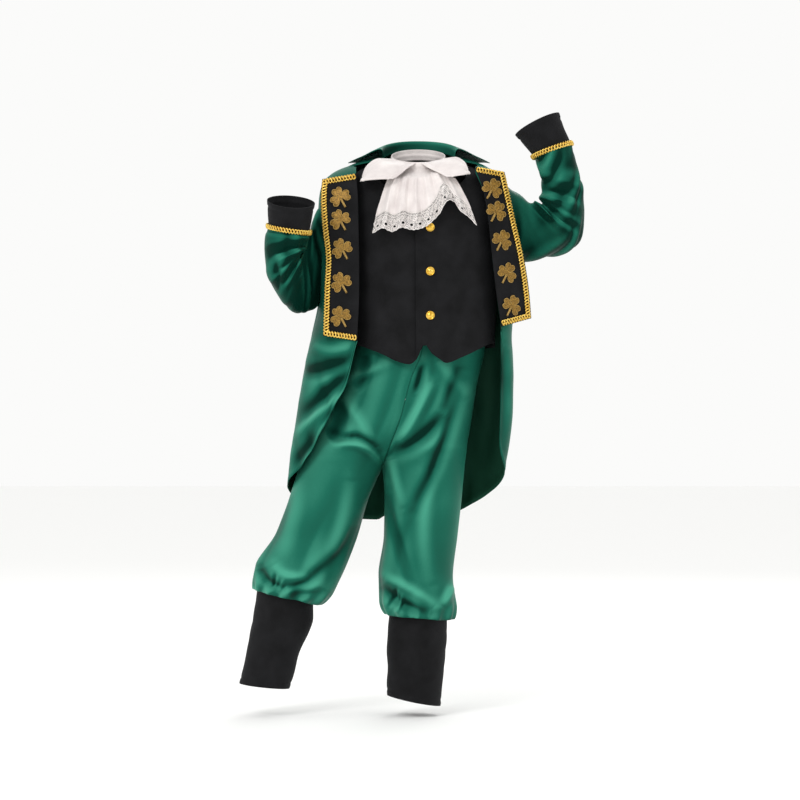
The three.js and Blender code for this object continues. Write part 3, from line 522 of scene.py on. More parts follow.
@dataclass(frozen=True)
class Metallic(Finish):
    """Metal thread, foil or polished metal, with glitter cells of a size in millimetres; on thread and foil
    the lighter cells are painted sparkle.
    """

    dark: str = "#8a6a22"
    light: str = "#f0d58a"
    cells: float = 0.8
    rough: float = 0.35
    metal: float = 1.0
    relief: float = 0.3

    def shade(self, tree: bpy.types.NodeTree) -> bpy.types.NodeSocket:
        """Builds the metal.

        Args:
            tree: the node tree.

        Returns:
            The shader's output.
        """
        where = add_node(tree, "ShaderNodeTexCoord").outputs["Object"]
        cell = add_node(tree, "ShaderNodeTexVoronoi", in_Vector=where, in_Scale=1 / (self.cells * MM))
        # Each cell's random colour: painted sparkle on thread and foil; its bump stands for the flakes.
        flakes_and_sparkle = add_node(tree, "ShaderNodeSeparateColor", in_0=cell.outputs["Color"])
        colour = add_node(tree, "ShaderNodeValToRGB", ((0.15, self.dark), (0.95, self.light)), in_Fac=flakes_and_sparkle)
        bump = add_node(tree, "ShaderNodeBump", in_Height=flakes_and_sparkle.outputs[1], in_Strength=self.relief,
                        in_Distance=0.3 * MM)
        skin = add_node(tree, "ShaderNodeBsdfPrincipled", in_Base_Color=colour, in_Metallic=self.metal,
                        in_Roughness=self.rough, in_Normal=bump.outputs["Normal"])
        return skin.outputs[0]


@dataclass(frozen=True)
class Lace(Finish):
    """Net with flower motifs on its UV: petals are dense, the net is open. Its sizes are millimetres."""

    thread: str = "#ece6e3"
    net: float = 2.2
    motif: float = 24.0
    mesh_thread: float = 0.12
    petal_rings: float = 5.2
    petal_edge: float = 0.62
    clearness: float = 0.92

    def shade(self, tree: bpy.types.NodeTree) -> bpy.types.NodeSocket:
        """Builds the net and the motifs.

        Args:
            tree: the node tree.

        Returns:
            The shader's output.
        """
        uv = add_node(tree, "ShaderNodeUVMap", uv_map="cut")
        parts = add_node(tree, "ShaderNodeSeparateXYZ", in_0=uv)
        waves = []
        for axis, pitch, shift in ((0, self.net, 0.0), (1, self.net, 0.0), (0, self.motif / 2, 0.6),
                                   (1, self.motif / 2, 0.9)):
            turn = add_node(tree, "ShaderNodeMath", operation="MULTIPLY_ADD", in_0=parts.outputs[axis],
                            in_1=math.tau / (pitch * MM), in_2=shift)
            waves.append(add_node(tree, "ShaderNodeMath", operation="COSINE", in_0=turn))
        # The net is open where the threads of both ways are away; a flower is where the petals' rings are.
        net = add_node(tree, "ShaderNodeMath", operation="MULTIPLY", in_0=waves[0], in_1=waves[1])
        size = add_node(tree, "ShaderNodeMath", operation="ABSOLUTE", in_0=net)
        opened = add_node(tree, "ShaderNodeMath", operation="GREATER_THAN", in_0=size, in_1=self.mesh_thread)
        petals = add_node(tree, "ShaderNodeMath", operation="ADD", in_0=waves[2], in_1=waves[3])
        turns = add_node(tree, "ShaderNodeMath", operation="MULTIPLY", in_0=petals, in_1=self.petal_rings)
        rings = add_node(tree, "ShaderNodeMath", operation="SINE", in_0=turns)
        petal = add_node(tree, "ShaderNodeMath", operation="MULTIPLY_ADD", in_0=petals, in_1=0.3, in_2=rings)
        flower = add_node(tree, "ShaderNodeMath", operation="GREATER_THAN", in_0=petal, in_1=self.petal_edge)
        bare = add_node(tree, "ShaderNodeMath", operation="SUBTRACT", in_0=1.0, in_1=flower)
        gap = add_node(tree, "ShaderNodeMath", operation="MULTIPLY", in_0=opened, in_1=bare)
        clear = add_node(tree, "ShaderNodeMath", operation="MULTIPLY", in_0=gap, in_1=self.clearness)
        skin = add_node(tree, "ShaderNodeBsdfPrincipled", in_Base_Color=linear(self.thread),
                        in_Roughness=0.75)
        skin.inputs["Sheen Weight"].default_value = 0.2
        see = add_node(tree, "ShaderNodeBsdfTransparent")
        both = add_node(tree, "ShaderNodeMixShader", in_0=clear, in_1=skin, in_2=see)
        return both.outputs[0]


# Polyester velour, knitted, with a cut pile of about 1 mm brushed one way: soft broad painted light on its
# ridges and on the sides of folds toward the light, painted shade near black in its troughs, and a faint
# green bloom at its edges. Real fibres are too fine to show, so they are drawn as tufts of about 1.1 mm.
VELOUR = Velour("velour", "green_velour")
# The knitted ground on the wrong side of the velour: matt, with no pile, and the same painted fold shade.
VELOUR_BACK = Velour("velour wrong side", "green_velour", dark="#123324", middle="#234c3b", light="#3a6853",
                     sheen=0.1, rough=0.8)
# Plain-woven black polyester: matt, with a faint grey bloom. Its threads are about 0.3 mm apart and are
# drawn at 0.6 mm, to show.
BLACK = Weave("black cloth", "black_cloth")
# White polyester satin: smooth and softly bright, with greyed folds. Its threads are about 0.1 mm apart and
# are drawn at 0.4 mm, to show.
WHITE = Weave("white satin", "white_satin", dark="#cdc4c2", light="#eae3e0", pitch=0.4, rough=0.5,
              sheen=0.3, tint="#ffffff")
# Gimp of metallised film wound round a cord: painted bright yellow sparks between darker turns, about 0.6 mm
# apart.
BRAID = Metallic("gimp braid", "gold_braid", dark="#c8921c", light="#ffe682", cells=0.6, rough=0.3,
                 metal=0.8)
# Glitter flakes glued on cloth: dull brown gold with painted grains of light, and an edge painted lighter as
# a rim glint. Real flakes are about 0.4 mm and are drawn at 0.9 and 0.7 mm, to show.
FOIL = Metallic("glitter foil", "gold_foil", dark="#5d4412", light="#a17a2c", cells=0.9, rough=0.5,
                metal=0.45)
# The badges' edge cords and stems: the foil painted lighter, as a rim glint.
FOIL_GLINT_EDGE = Metallic("glitter edge", "gold_foil", dark="#8c6c30", light="#c0a05c", cells=0.7, rough=0.5,
                     metal=0.4)
# Moulded button with a plated brass skin: polished, with faint patches of about 4 mm and almost no grain.
BRASS = Metallic("button metal", "brass", dark="#d9a93c", light="#f4cf6a", cells=4.0, rough=0.16, relief=0.02)
# Machine-made nylon lace: a nearly clear net with dense flowers, which repeat each 24 mm. Its net is about
# 1 mm and is drawn at 2.2 mm, to show.
LACE = Lace("white lace", "white_lace")


# Sheets

@dataclass
class Sheet:
    """A sheet of cloth, from a surface of two shares, as a thin shell with its cut as UV."""

    name: str
    nodes: Sequence[str]
    surface: Surface
    across: int
    down: int
    finish: Finish
    inside: Optional[Finish] = None
    ringed: bool = False
    flip: bool = False
    thickness: float = CLOTH
    creases: Sequence[Sequence[float]] = ()
    ripple: tuple[float, float] = (14.0, 0.35)
    folds: Optional[tuple[tuple[float, float], float, float]] = None
    folds_below: float = 200.0
    # The base tone that the painted fold shade sits on; a lower one paints the whole sheet darker.
    pile: float = 0.5
    hem: tuple[str, ...] = ()
    held: str = "draped"
    rests_on: Sequence[str] = ()
    hole: Optional[BVHTree] = None

    def grid(self) -> tuple[np.ndarray, np.ndarray]:
        """Places the sheet's outer face.

        Returns:
            Its points, with creases, ripples and stitched hems, and how far those moved each one out.
        """
        columns = self.across if self.ringed else self.across + 1
        u, v = np.meshgrid(np.arange(columns) / self.across, np.linspace(0, 1, self.down + 1))
        points = self.surface(u, v)
        normals = normals_of(points, self.ringed) * (-1 if self.flip else 1)
        move = crease_field(self.creases, points[..., 0], points[..., 2])
        seed = sum(ord(letter) for letter in self.name) % 17
        move = move + flutter(points, self.ripple[0], self.ripple[1], seed)
        if self.folds:
            run, size, depth = self.folds
            fade = smoothstep(-points[..., 2], -self.folds_below, 40 - self.folds_below)
            move = move + fade * drape(points, run, size, depth, seed)
        if not self.ringed:
            move = move * smoothstep(np.minimum(u, 1 - u), 0.0, SEAM_SHARE)
        move = move + self.stitched(points)
        return points + normals * move[..., None], move

    def nap(self, points: np.ndarray, normals: np.ndarray, move: np.ndarray) -> np.ndarray:
        """Paints shade and light into the cloth's folds: troughs and the sides of folds turned from the light
        darker, ridges and the sides facing it lighter.

        Args:
            points: the grid.
            normals: its outward normals.
            move: how far creases moved each point out.

        Returns:
            Painted shades from 0, in troughs and on sides turned from the light, to 1 on ridges and on sides
            facing it.
        """
        both = np.concatenate([normals, move[..., None]], -1)
        plain = both
        for axis in (0, 1):
            cell = np.linalg.norm(np.diff(points, axis=axis), axis=-1).mean()
            for _ in range(int(min(2 * (SHADE_REACH / max(cell, 0.5)) ** 2, SHADE_PASSES))):
                plain = blurred(plain, axis, self.ringed and axis == 1)
        rise = both - plain
        # Painted light: a side of a fold that tilts toward the light is lighter, one that turns away darker;
        # troughs are painted darker and ridges lighter.
        toward_light = (rise[..., :3] * np.array(PAINTED_LIGHT_FROM)).sum(-1)
        raised = SHADE_BY_HEIGHT * np.tanh(rise[..., 3] / SHADE_HEIGHT)
        return self.pile + raised + SHADE_BY_TILT * np.tanh(toward_light * SHADE_TILT)

    def stitched(self, points: np.ndarray) -> np.ndarray:
        """Shallow grooves where a hem is sewn, a little inside the named edges.

        Args:
            points: the grid.

        Returns:
            How far each point moves out.
        """
        groove = np.zeros(points.shape[:2])
        down = np.linalg.norm(np.diff(points, axis=0), axis=-1)
        down = np.concatenate([np.zeros_like(down[:1]), np.cumsum(down, 0)])
        side = np.linalg.norm(np.diff(points, axis=1), axis=-1)
        side = np.concatenate([np.zeros_like(side[:, :1]), np.cumsum(side, 1)], 1)
        away = {"top": down, "bottom": down[-1:] - down, "start": side, "end": side[:, -1:] - side}
        for edge in self.hem:
            groove -= STITCH_DEPTH * np.exp(-(((away[edge] - STITCH_IN) / STITCH_WIDE) ** 2))
            groove += HEM_RISE * (away[edge] < HEM_WIDE)
        return groove

    def build(self) -> bpy.types.Object:
        """Makes the object, gives it a thin solid shell and hides the nodes it stands for.

        Returns:
            The object.
        """
        points, move = self.grid()
        rows, columns = points.shape[:2]
        mesh = bmesh.new()
        # Painted fold shade, stored on each point for the velour's colour: darker in troughs and on sides
        # turned from the light, lighter on ridges and on sides facing it.
        nap = mesh.verts.layers.float.new("nap")
        corners = [[mesh.verts.new(Vector(point) * MM) for point in row] for row in points]
        normals = normals_of(points, self.ringed) * (-1 if self.flip else 1)
        for row, lies in zip(corners, self.nap(points, normals, move)):
            for corner, value in zip(row, lies):
                corner[nap] = value
        cut = mesh.loops.layers.uv.new("cut")
        closed = np.concatenate([points, points[:, :1]], 1) if self.ringed else points
        across = np.linalg.norm(np.diff(closed, axis=1), axis=-1)
        down = np.linalg.norm(np.diff(closed, axis=0), axis=-1)
        wide = np.concatenate([np.zeros((rows, 1)), np.cumsum(across, 1)], 1)
        tall = np.concatenate([np.zeros((1, closed.shape[1])), np.cumsum(down, 0)], 0)
        inside = self.inside_arm(points)
        area = 0.0
        for j in range(rows - 1):
            for i in range(columns if self.ringed else columns - 1):
                k = (i + 1) % columns
                if inside is not None and inside[[j, j, j + 1, j + 1], [i, k, i, k]].all():
                    continue
                spots = [(j, i, i), (j, k, i + 1), (j + 1, k, i + 1), (j + 1, i, i)]
                if self.flip:
                    spots.reverse()
                face = mesh.faces.new([corners[a][b] for a, b, _ in spots])
                face.smooth = True
                for loop, (a, _, c) in zip(face.loops, spots):
                    loop[cut].uv = (wide[a, c] * MM, tall[a, c] * MM)
                area += face.calc_area()
        bmesh.ops.delete(mesh, geom=[v for v in mesh.verts if not v.link_faces], context="VERTS")
        data = bpy.data.meshes.new(self.name)
        mesh.to_mesh(data)
        mesh.free()
        piece = bpy.data.objects.new(self.name, data)
        bpy.context.scene.collection.objects.link(piece)
        data.materials.append(self.finish.build())
        data.materials.append((self.inside or self.finish).build())
        shell = piece.modifiers.new("cloth", "SOLIDIFY")
        shell.thickness = self.thickness * MM
        shell.offset = -1
        shell.material_offset = 1
        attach(piece, BODY)
        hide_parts(*self.nodes)
        return piece

    @staticmethod
    def cut_size(points: np.ndarray) -> tuple[float, float]:
        """The width of the cut, square to its length, and its length, in metres.

        Args:
            points: the grid, with its first column repeated at the end where it is a ring.

        Returns:
            The largest width and the largest length of the flat cut.
        """
        along = points[:-1, 1:] - points[:-1, :-1]
        down = points[1:, :-1] - points[:-1, :-1]
        run = np.linalg.norm(down, axis=-1)
        across = np.linalg.norm(np.cross(along, down), axis=-1) / np.maximum(run, 1e-6)
        return float(across.sum(1).max()) * MM, float(run.sum(0).max()) * MM

    def inside_arm(self, points: np.ndarray) -> Optional[np.ndarray]:
        """Which points lie inside the solid that cuts the sheet's hole.

        Args:
            points: the grid.

        Returns:
            A flag for each point, or None where no solid cuts the sheet.
        """
        if self.hole is None:
            return None
        result = np.zeros(points.shape[:2], bool)
        heading = Vector(RAY_WAY).normalized()
        for j, row in enumerate(points):
            for i, point in enumerate(row):
                origin = Vector(point)
                crossings = 0
                hit = self.hole.ray_cast(origin, heading)
                while hit[0] is not None and crossings < RAY_MOST:
                    crossings += 1
                    hit = self.hole.ray_cast(hit[0] + heading * RAY_STEP, heading)
                result[j, i] = crossings % 2 == 1
        return result


def solid_tree(points: np.ndarray) -> BVHTree:
    """A closed tube of ringed points, with its ends capped, for inside tests.

    Args:
        points: the grid of rings.

    Returns:
        The tree of its faces.
    """
    rows, columns = points.shape[:2]
    corners = [Vector(point) for point in points.reshape(-1, 3)]
    faces = []
    for j in range(rows - 1):
        for i in range(columns):
            k = (i + 1) % columns
            faces.append((j * columns + i, j * columns + k, (j + 1) * columns + k, (j + 1) * columns + i))
    for j in (0, rows - 1):
        hub = len(corners)
        corners.append(Vector(points[j].mean(0)))
        faces.extend((hub, j * columns + i, j * columns + (i + 1) % columns) for i in range(columns))
    return BVHTree.FromPolygons(corners, faces)


# Tailcoat sizes

LAPEL = "z fold edge slant"
LAPELS = {
    Side.RIGHT: Table(LAPEL, [
        (13, -85, -134, 0.2), (-25, -82, -137, 0.22), (-70, -81, -134, 0.24), (-115, -80, -129, 0.25),
        (-160, -80, -131, 0.25), (-236, -83, -133, 0.25),
    ]),
    Side.LEFT: Table(LAPEL, [
        (20, 93, 135, 0.2), (-20, 106, 143, 0.3), (-60, 112, 152, 0.38), (-110, 117, 164, 0.48),
        (-160, 123, 172, 0.55), (-214, 131, 177, 0.62),
    ]),
}
FACING_TOP = {Side.RIGHT: 5.0, Side.LEFT: 16.0}
FACING_BOTTOM = {Side.RIGHT: -231.0, Side.LEFT: -209.0}
FACING_WIDE = {Side.RIGHT: 50.0, Side.LEFT: 42.0}
FACING_LIFT = 0.5
FACING_THICK = 1.6
HEMS = {
    Side.RIGHT: Table("share z", [
        (0, -449), (0.28, -430), (0.545, -404), (0.745, -368), (0.885, -328), (0.96, -296), (1, -240),
    ]),
    Side.LEFT: Table("share z", [
        (0, -428), (0.3, -416), (0.6, -395), (0.78, -362), (0.9, -320), (0.96, -280), (1, -238),
    ]),
}
BACK_HEM = {
    Side.RIGHT: Table("angle z", [(0, -449), (20, -470), (45, -490), (70, -503), (86, -506), (90, -494)]),
    Side.LEFT: Table("angle z", [(0, -428), (20, -456), (45, -482), (70, -500), (86, -506), (90, -494)]),
}
FRONT_NARROWEST = 20.0
VENT_TOP, VENT_BOTTOM, VENT_GAP = -330.0, -500.0, 3.5
SKIRT_FOLD, SKIRT_FROM, SKIRT_TO, SKIRT_COUNT, SKIRT_TURN = 5.5, 8.3, 12.0, 5.2, 24.0


def fold_angle(side: Side, level: np.ndarray) -> np.ndarray:
    """The angle at which a front ends: at the fold of its lapel, and straight down from its foot.

    Args:
        side: the side.
        level: rows of the coat's rings.

    Returns:
        The angles.
    """
    foot = FACING_BOTTOM[side] - 5
    z = np.maximum(COAT_RINGS.at("z", level), foot)
    fold = LAPELS[side].at("fold", z)
    return angle_at(COAT_RINGS, COAT_SQUARE, side, fold, np.minimum(level, level_at(COAT_RINGS, foot)))


def coat_point(side: Side, angle: np.ndarray, level: np.ndarray) -> np.ndarray:
    """Points of the coat, with the soft folds of its skirts.

    Args:
        side: the side.
        angle: degrees from the side seam.
        level: rows of the coat's rings.

    Returns:
        The points.
    """
    points = ring_point(COAT_RINGS, COAT_SQUARE, side, angle, level)
    outward = np.stack([points[..., 0] - COAT_RINGS.at("middle", level), points[..., 1], 0 * angle], -1)
    outward /= np.maximum(np.linalg.norm(outward, axis=-1, keepdims=True), 1e-6)
    ripple = np.cos(np.radians(angle * SKIRT_COUNT + SKIRT_TURN))
    ripple = SKIRT_FOLD * smoothstep(level, SKIRT_FROM, SKIRT_TO) * ripple
    return points + outward * ripple[..., None]


def spaced(v: np.ndarray) -> np.ndarray:
    """Levels spaced closer over the shoulder than down the skirts."""
    return 0.75 * v + 0.25 * v * v


def coat_front(side: Side) -> Surface:
    """The surface of a front, from its side seam to the fold of its lapel.

    Args:
        side: the side.

    Returns:
        The surface.
    """
    levels = np.linspace(1, 4, 300)
    top = float(levels[np.argmax(fold_angle(side, levels) >= FRONT_NARROWEST)])

    def surface(u: np.ndarray, v: np.ndarray) -> np.ndarray:
        """Places points of the sheet.

        Args:
            u: shares across.
            v: shares down.

        Returns:
            The points.
        """
        bottom = level_at(COAT_RINGS, HEMS[side].at("z", u))
        level = mix(top, bottom, spaced(v))
        return coat_point(side, u * fold_angle(side, level), level)

    return surface


def coat_back(side: Side) -> Surface:
    """The surface of a back, from its side seam to the centre seam and its vent.

    Args:
        side: the side.

    Returns:
        The surface.
    """

    def surface(u: np.ndarray, v: np.ndarray) -> np.ndarray:
        """Places points of the sheet.

        Args:
            u: shares across.
            v: shares down.

        Returns:
            The points.
        """
        level = level_at(COAT_RINGS, BACK_HEM[side].at("z", u * 90)) * spaced(v)
        points = coat_point(side, -u * 90, level)
        opened = smoothstep(-points[..., 2], -VENT_TOP, -VENT_BOTTOM)
        points[..., 0] += side.value * (VENT_GAP * opened * u**6 + 0.15 * u**8)
        return points

    return surface


SLEEVE = "row crookX crookZ elbowX elbowZ y depth dip"
SLEEVES = {
    Side.RIGHT: Table(SLEEVE, [
        (0, -90, -8, -90, -142, 6, 44, 0), (1, -118, -8, -118, -158, 2, 48, 0),
        (2, -136, -24, -136, -176, -2, 46, 0), (3, -149, -52, -154, -190, -22, 46, 0),
        (4, -155, -80, -172, -194, -54, 46, 0), (5, -158, -97, -190, -182, -71, 43, 0),
        (6, -159, -102, -204, -161, -85, 41, 0), (7, -158, -100, -216, -133, -95, 38, 0),
        (8, -156, -94, -218, -105, -102, 35, 0), (9, -153, -85, -216, -80, -108, 32, -2),
        (10, -152, -77.5, -212, -68, -112, 29, -4), (11, -148, -56, -213, -49, -116, 31, -7),
        (12, -144, -36, -213, -30, -120, 33, -11),
    ]),
    Side.LEFT: Table(SLEEVE, [
        (0, 98, 8, 98, -116, 6, 44, 0), (1, 126, 7, 131, -119, 2, 48, 0),
        (2, 146, -5, 161, -115, 6, 44, 0), (3, 165, -19, 190, -111, -8, 42, 0),
        (4, 178, -28, 218, -106, -30, 42, 0), (5, 184, -30, 240, -96, -54, 41, 0),
        (6, 188, -28, 251, -77, -62, 39, 0), (7, 189.5, -21, 253, -46, -68, 37, 0),
        (8, 189.5, -7, 251, -19, -74, 34, 0), (9, 187, 12, 245, 8, -79, 31, 0),
        (10, 177, 35, 232, 55, -85, 28, 1), (11, 163, 52, 221, 78, -89, 30, 3),
        (12, 150, 67, 214, 98, -93, 32, 5),
    ]),
}
SLEEVE_FINENESS = 0.9
CROOK_SMOOTH = 48.0
CUFF_SEAM = 10.0
CUFF_END = 12.0
SLEEVE_FOLDS = (
    (3.3, 60, -4.5, 0.5, 80), (4.6, 45, 3.6, 0.45, 75), (5.6, 30, -5, 0.45, 80),
    (6.6, 45, 4, 0.45, 75), (7.6, 60, -4, 0.45, 80), (8.7, 80, 2.6, 0.45, 80),
)
# Finer folds of the sleeves: the row and angle they start and end at, how deep and how wide.
SLEEVE_CREASES = (
    (3.4, 20, 4.6, 110, -2.6, 0.22), (4.3, 10, 5.4, 130, 2.2, 0.24), (5.0, 5, 5.9, 150, -3.0, 0.22),
    (5.7, 0, 6.4, 160, 2.4, 0.2), (6.3, -10, 6.6, 140, -2.8, 0.2), (7.0, 10, 7.2, 150, 2.0, 0.22),
    (7.8, 20, 7.5, 150, -2.2, 0.2), (8.6, 30, 8.2, 170, 1.6, 0.24), (5.2, -20, 5.8, -140, -2.6, 0.24),
    (6.2, -10, 6.3, -150, 2.2, 0.22), (7.2, -20, 6.9, -150, -2.2, 0.24), (8.2, -40, 8.5, -160, 1.6, 0.3),
    (9.1, 60, 9.3, 200, -1.2, 0.2), (2.4, 40, 3.1, 170, -2.0, 0.25), (2.6, -30, 3.2, -160, -2.2, 0.28),
)


def sleeve_point(side: Side, turn: np.ndarray, row: np.ndarray, out: float = 0.0) -> np.ndarray:
    """Points of a sleeve with its folds.

    Args:
        side: the side.
        turn: shares round the sleeve, from its crook.
        row: rows of the sleeve's table.
        out: how far out the points stand.

    Returns:
        The points.
    """
    table = SLEEVES[side]
    swell = np.full(np.broadcast(turn, row).shape, out)
    for at_row, angle, depth, reach, spread in SLEEVE_FOLDS:
        round_ = ((turn * 360 - angle + 540) % 360 - 180) / spread
        swell = swell + depth * np.exp(-(((row - at_row) / reach) ** 2) - round_**2)
    fine = np.zeros_like(swell)
    for row0, angle0, row1, angle1, depth, width in SLEEVE_CREASES:
        middle = (angle0 + angle1) / 2
        away = (turn * 360 - middle + 540) % 360 - 180
        share = np.clip(away / (angle1 - angle0) + 0.5, 0, 1)
        line = mix(row0, row1, share)
        fine += depth * np.sin(np.pi * np.clip(share, 0.01, 0.99)) * np.exp(-(((row - line) / width) ** 2))
    crooked = (turn * 360 + 540) % 360 - 180
    swell = swell + SLEEVE_FINENESS * fine * (1 - np.exp(-((crooked / CROOK_SMOOTH) ** 2)))
    crook = np.stack([table.at("crookX", row), table.at("y", row), table.at("crookZ", row)], -1)
    elbow = np.stack([table.at("elbowX", row), table.at("y", row), table.at("elbowZ", row)], -1)
    centre = (crook + elbow) / 2
    reach = crook - centre
    length = np.linalg.norm(reach, axis=-1)
    angle = turn * math.tau
    points = centre + reach * (np.cos(angle) * (1 + swell / length))[..., None]
    points[..., 1] -= (table.at("depth", row) + swell) * np.sin(angle)
    points[..., 2] += table.at("dip", row) * np.sin(angle)
    return points


def armhole_rows(side: Side, columns: int) -> np.ndarray:
    """The row at which each column of a sleeve comes out of the coat.

    Args:
        side: the side.
        columns: how many columns the sleeve has.

    Returns:
        The rows.
    """
    turn = np.arange(columns) / columns
    rows = np.linspace(0.3, 5.5, 260)
    points = sleeve_point(side, *np.meshgrid(turn, rows))
    level = level_at(COAT_RINGS, points[..., 2] - 0.05 * points[..., 1])
    depth = np.where(points[..., 1] < 0, COAT_RINGS.at("front", level), COAT_RINGS.at("back", level))
    across = np.abs(points[..., 0] - COAT_RINGS.at("middle", level)) / COAT_RINGS.at("half", level)
    outside = across**COAT_SQUARE + np.abs(points[..., 1] / depth) ** COAT_SQUARE > 1.0
    last_inside = outside.shape[0] - 1 - np.argmax(~outside[::-1], axis=0)
    return rows[np.clip(last_inside, 0, len(rows) - 1)]


def sleeve_surface(side: Side, columns: int) -> Surface:
    """The surface of a sleeve from its armhole to the seam of its cuff.

    Args:
        side: the side.
        columns: how many columns the sleeve has.

    Returns:
        The surface.
    """
    start = armhole_rows(side, columns)

    def surface(u: np.ndarray, v: np.ndarray) -> np.ndarray:
        """Places points of the sheet.

        Args:
            u: shares across.
            v: shares down.

        Returns:
            The points.
        """
        first = np.interp(u * columns, np.arange(columns + 1), np.append(start, start[0]))
        return sleeve_point(side, u, mix(first, CUFF_SEAM - 0.01, v))

    return surface


def sleeve_span(side: Side, low: float, high: float, out: float = 0.0) -> Surface:
    """The surface of a stretch of a sleeve, between two rows.

    Args:
        side: the side.
        low: the first row.
        high: the last row.
        out: how far out it stands.

    Returns:
        The surface.
    """

    def surface(u: np.ndarray, v: np.ndarray) -> np.ndarray:
        """Points by shares round and along."""
        return sleeve_point(side, u, mix(low, high, v), out)

    return surface


# Creases of the coat's fronts and tails, seen from the front or the back.

TAIL_CREASES = {
    Side.RIGHT: (
        (-168, -350, -132, -318, -92, -284, -6, 13), (-166, -282, -130, -284, -90, -262, -6, 12),
        (-174, -376, -138, -346, -98, -306, 4.5, 10), (-150, -240, -120, -262, -88, -246, 4, 10),
        (-178, -420, -160, -398, -134, -370, -3.6, 9), (-164, -430, -150, -400, -128, -352, 3, 8),
        (-150, -110, -138, -180, -148, -240, -3, 12), (-128, -50, -138, -120, -130, -190, 2.4, 12),
    ),
    Side.LEFT: (
        (134, -240, 140, -310, 130, -396, -3, 7), (143, -250, 147, -320, 140, -410, 2.4, 7),
        (136, -110, 142, -160, 138, -215, -2.4, 10),
    ),
}
BACK_CREASES = (
    (-100, -250, -95, -360, -110, -480, -5, 16), (-60, -230, -50, -350, -58, -500, 4.2, 16),
    (-20, -260, -25, -370, -20, -500, -4, 14), (30, -240, 28, -360, 20, -500, 4.2, 15),
    (80, -250, 78, -360, 62, -480, -5, 16), (118, -240, 122, -330, 108, -430, 3.6, 14),
    (-140, -230, -148, -330, -150, -440, 3.6, 14), (-118, -70, -84, -120, -70, -230, -2.2, 22),
    (116, -60, 88, -130, 78, -240, -2.2, 22), (-60, -60, -34, -130, -30, -230, 1.8, 22),
    (70, -50, 44, -120, 36, -220, 1.8, 22), (-132, -110, -110, -180, -96, -250, 1.6, 18),
    (134, -100, 116, -160, 104, -240, 1.6, 18), (-80, 4, -50, -16, -20, -20, 1.4, 16),
    (84, 6, 50, -16, 24, -20, 1.4, 16),
)


@dataclass
class Tailcoat:
    """The coat: fronts, backs, sleeves, cuffs and collar."""

    armhole_ease: float = 2.0
    front_folds: tuple[float, float] = (7.0, 1.8)
    back_folds: tuple[float, float] = (9.0, 1.2)
    sleeve_folds: tuple[float, float] = (4.0, 2.6)
    tails_from: float = -225.0
    # Base tones of the velour's painted fold shade: the sleeves are painted darker, as shade, and the collar
    # a little darker than the body.
    body_pile: float = 0.42
    sleeve_pile: float = 0.27
    collar_pile: float = 0.36
    cuff_braid_lift: float = 1.0
    cuff_braid_wide: float = 8.0
    cuff_braid_steps: int = 480

    def build(self) -> None:
        """Makes every piece of the coat but its lapels."""
        for side in Side:
            turned = side is Side.RIGHT
            rings = np.meshgrid(np.arange(48) / 48, np.linspace(0, 8, 70))
            arm = solid_tree(sleeve_point(side, *rings, -self.armhole_ease))
            Sheet(f"coat_front_{side.label}_cloth", [f"coat_front_{side.label}"], coat_front(side), 80, 150,
                  VELOUR, VELOUR_BACK, flip=turned, creases=TAIL_CREASES[side], hem=("bottom",),
                  folds=((side.value * -0.25, -0.97), *self.front_folds), folds_below=self.tails_from,
                  pile=self.body_pile, hole=arm).build()
            Sheet(f"coat_back_{side.label}_cloth", [f"coat_back_{side.label}"], coat_back(side), 84, 150,
                  VELOUR, VELOUR_BACK, flip=not turned, creases=BACK_CREASES, hem=("bottom",),
                  folds=((side.value * 0.2, -0.98), *self.back_folds), pile=self.body_pile,
                  hole=arm).build()
            self.sleeve(side)
        Sheet("coat_collar_cloth", ["coat_collar"], collar_surface, 90, 40, VELOUR,
              ripple=(18.0, 0.8), held="folded", pile=self.collar_pile).build()

    def sleeve(self, side: Side) -> None:
        """Makes a sleeve, its cuff and the braid over the seam between them.

        Args:
            side: the side.
        """
        turned = side is Side.RIGHT
        label = side.label
        Sheet(f"sleeve_{label}_cloth", [f"sleeve_{label}"], sleeve_surface(side, 96), 96, 120, VELOUR,
              VELOUR_BACK, ringed=True, flip=turned, ripple=(12.0, 0.4),
              folds=((side.value * 0.2, 0.97), *self.sleeve_folds), pile=self.sleeve_pile).build()
        Sheet(f"cuff_{label}_cloth", [f"cuff_{label}"], sleeve_span(side, CUFF_SEAM + 0.01, CUFF_END), 96, 24,
              BLACK, ringed=True, flip=turned, hem=("bottom",)).build()
        turns = np.linspace(0, 1, self.cuff_braid_steps, endpoint=False)
        seam = np.full_like(turns, CUFF_SEAM)
        path = sleeve_point(side, turns, seam, self.cuff_braid_lift)
        ahead = sleeve_point(side, turns, seam + 0.3, self.cuff_braid_lift)
        outer = sleeve_point(side, turns, seam, self.cuff_braid_lift + 2)
        Braid(f"cuff_braid_{label}_gimp", [f"cuff_braid_{label}"], path, ahead - path, outer - path,
              closed=True, width=self.cuff_braid_wide).build()


COLLAR_SECTION = Table("step sideOut sideUp backOut backUp", [
    (0, 0, 0.6, 0, 0.6), (1, 1, 11, 1, 12), (2, 6, 16, 4, 17), (3, 16, 13, 8, 13), (4, 30, 6, 12, 3),
    (5, 44, 0, 16, -8), (6, 54, -5, 19, -18),
])
COLLAR_START = -3.0


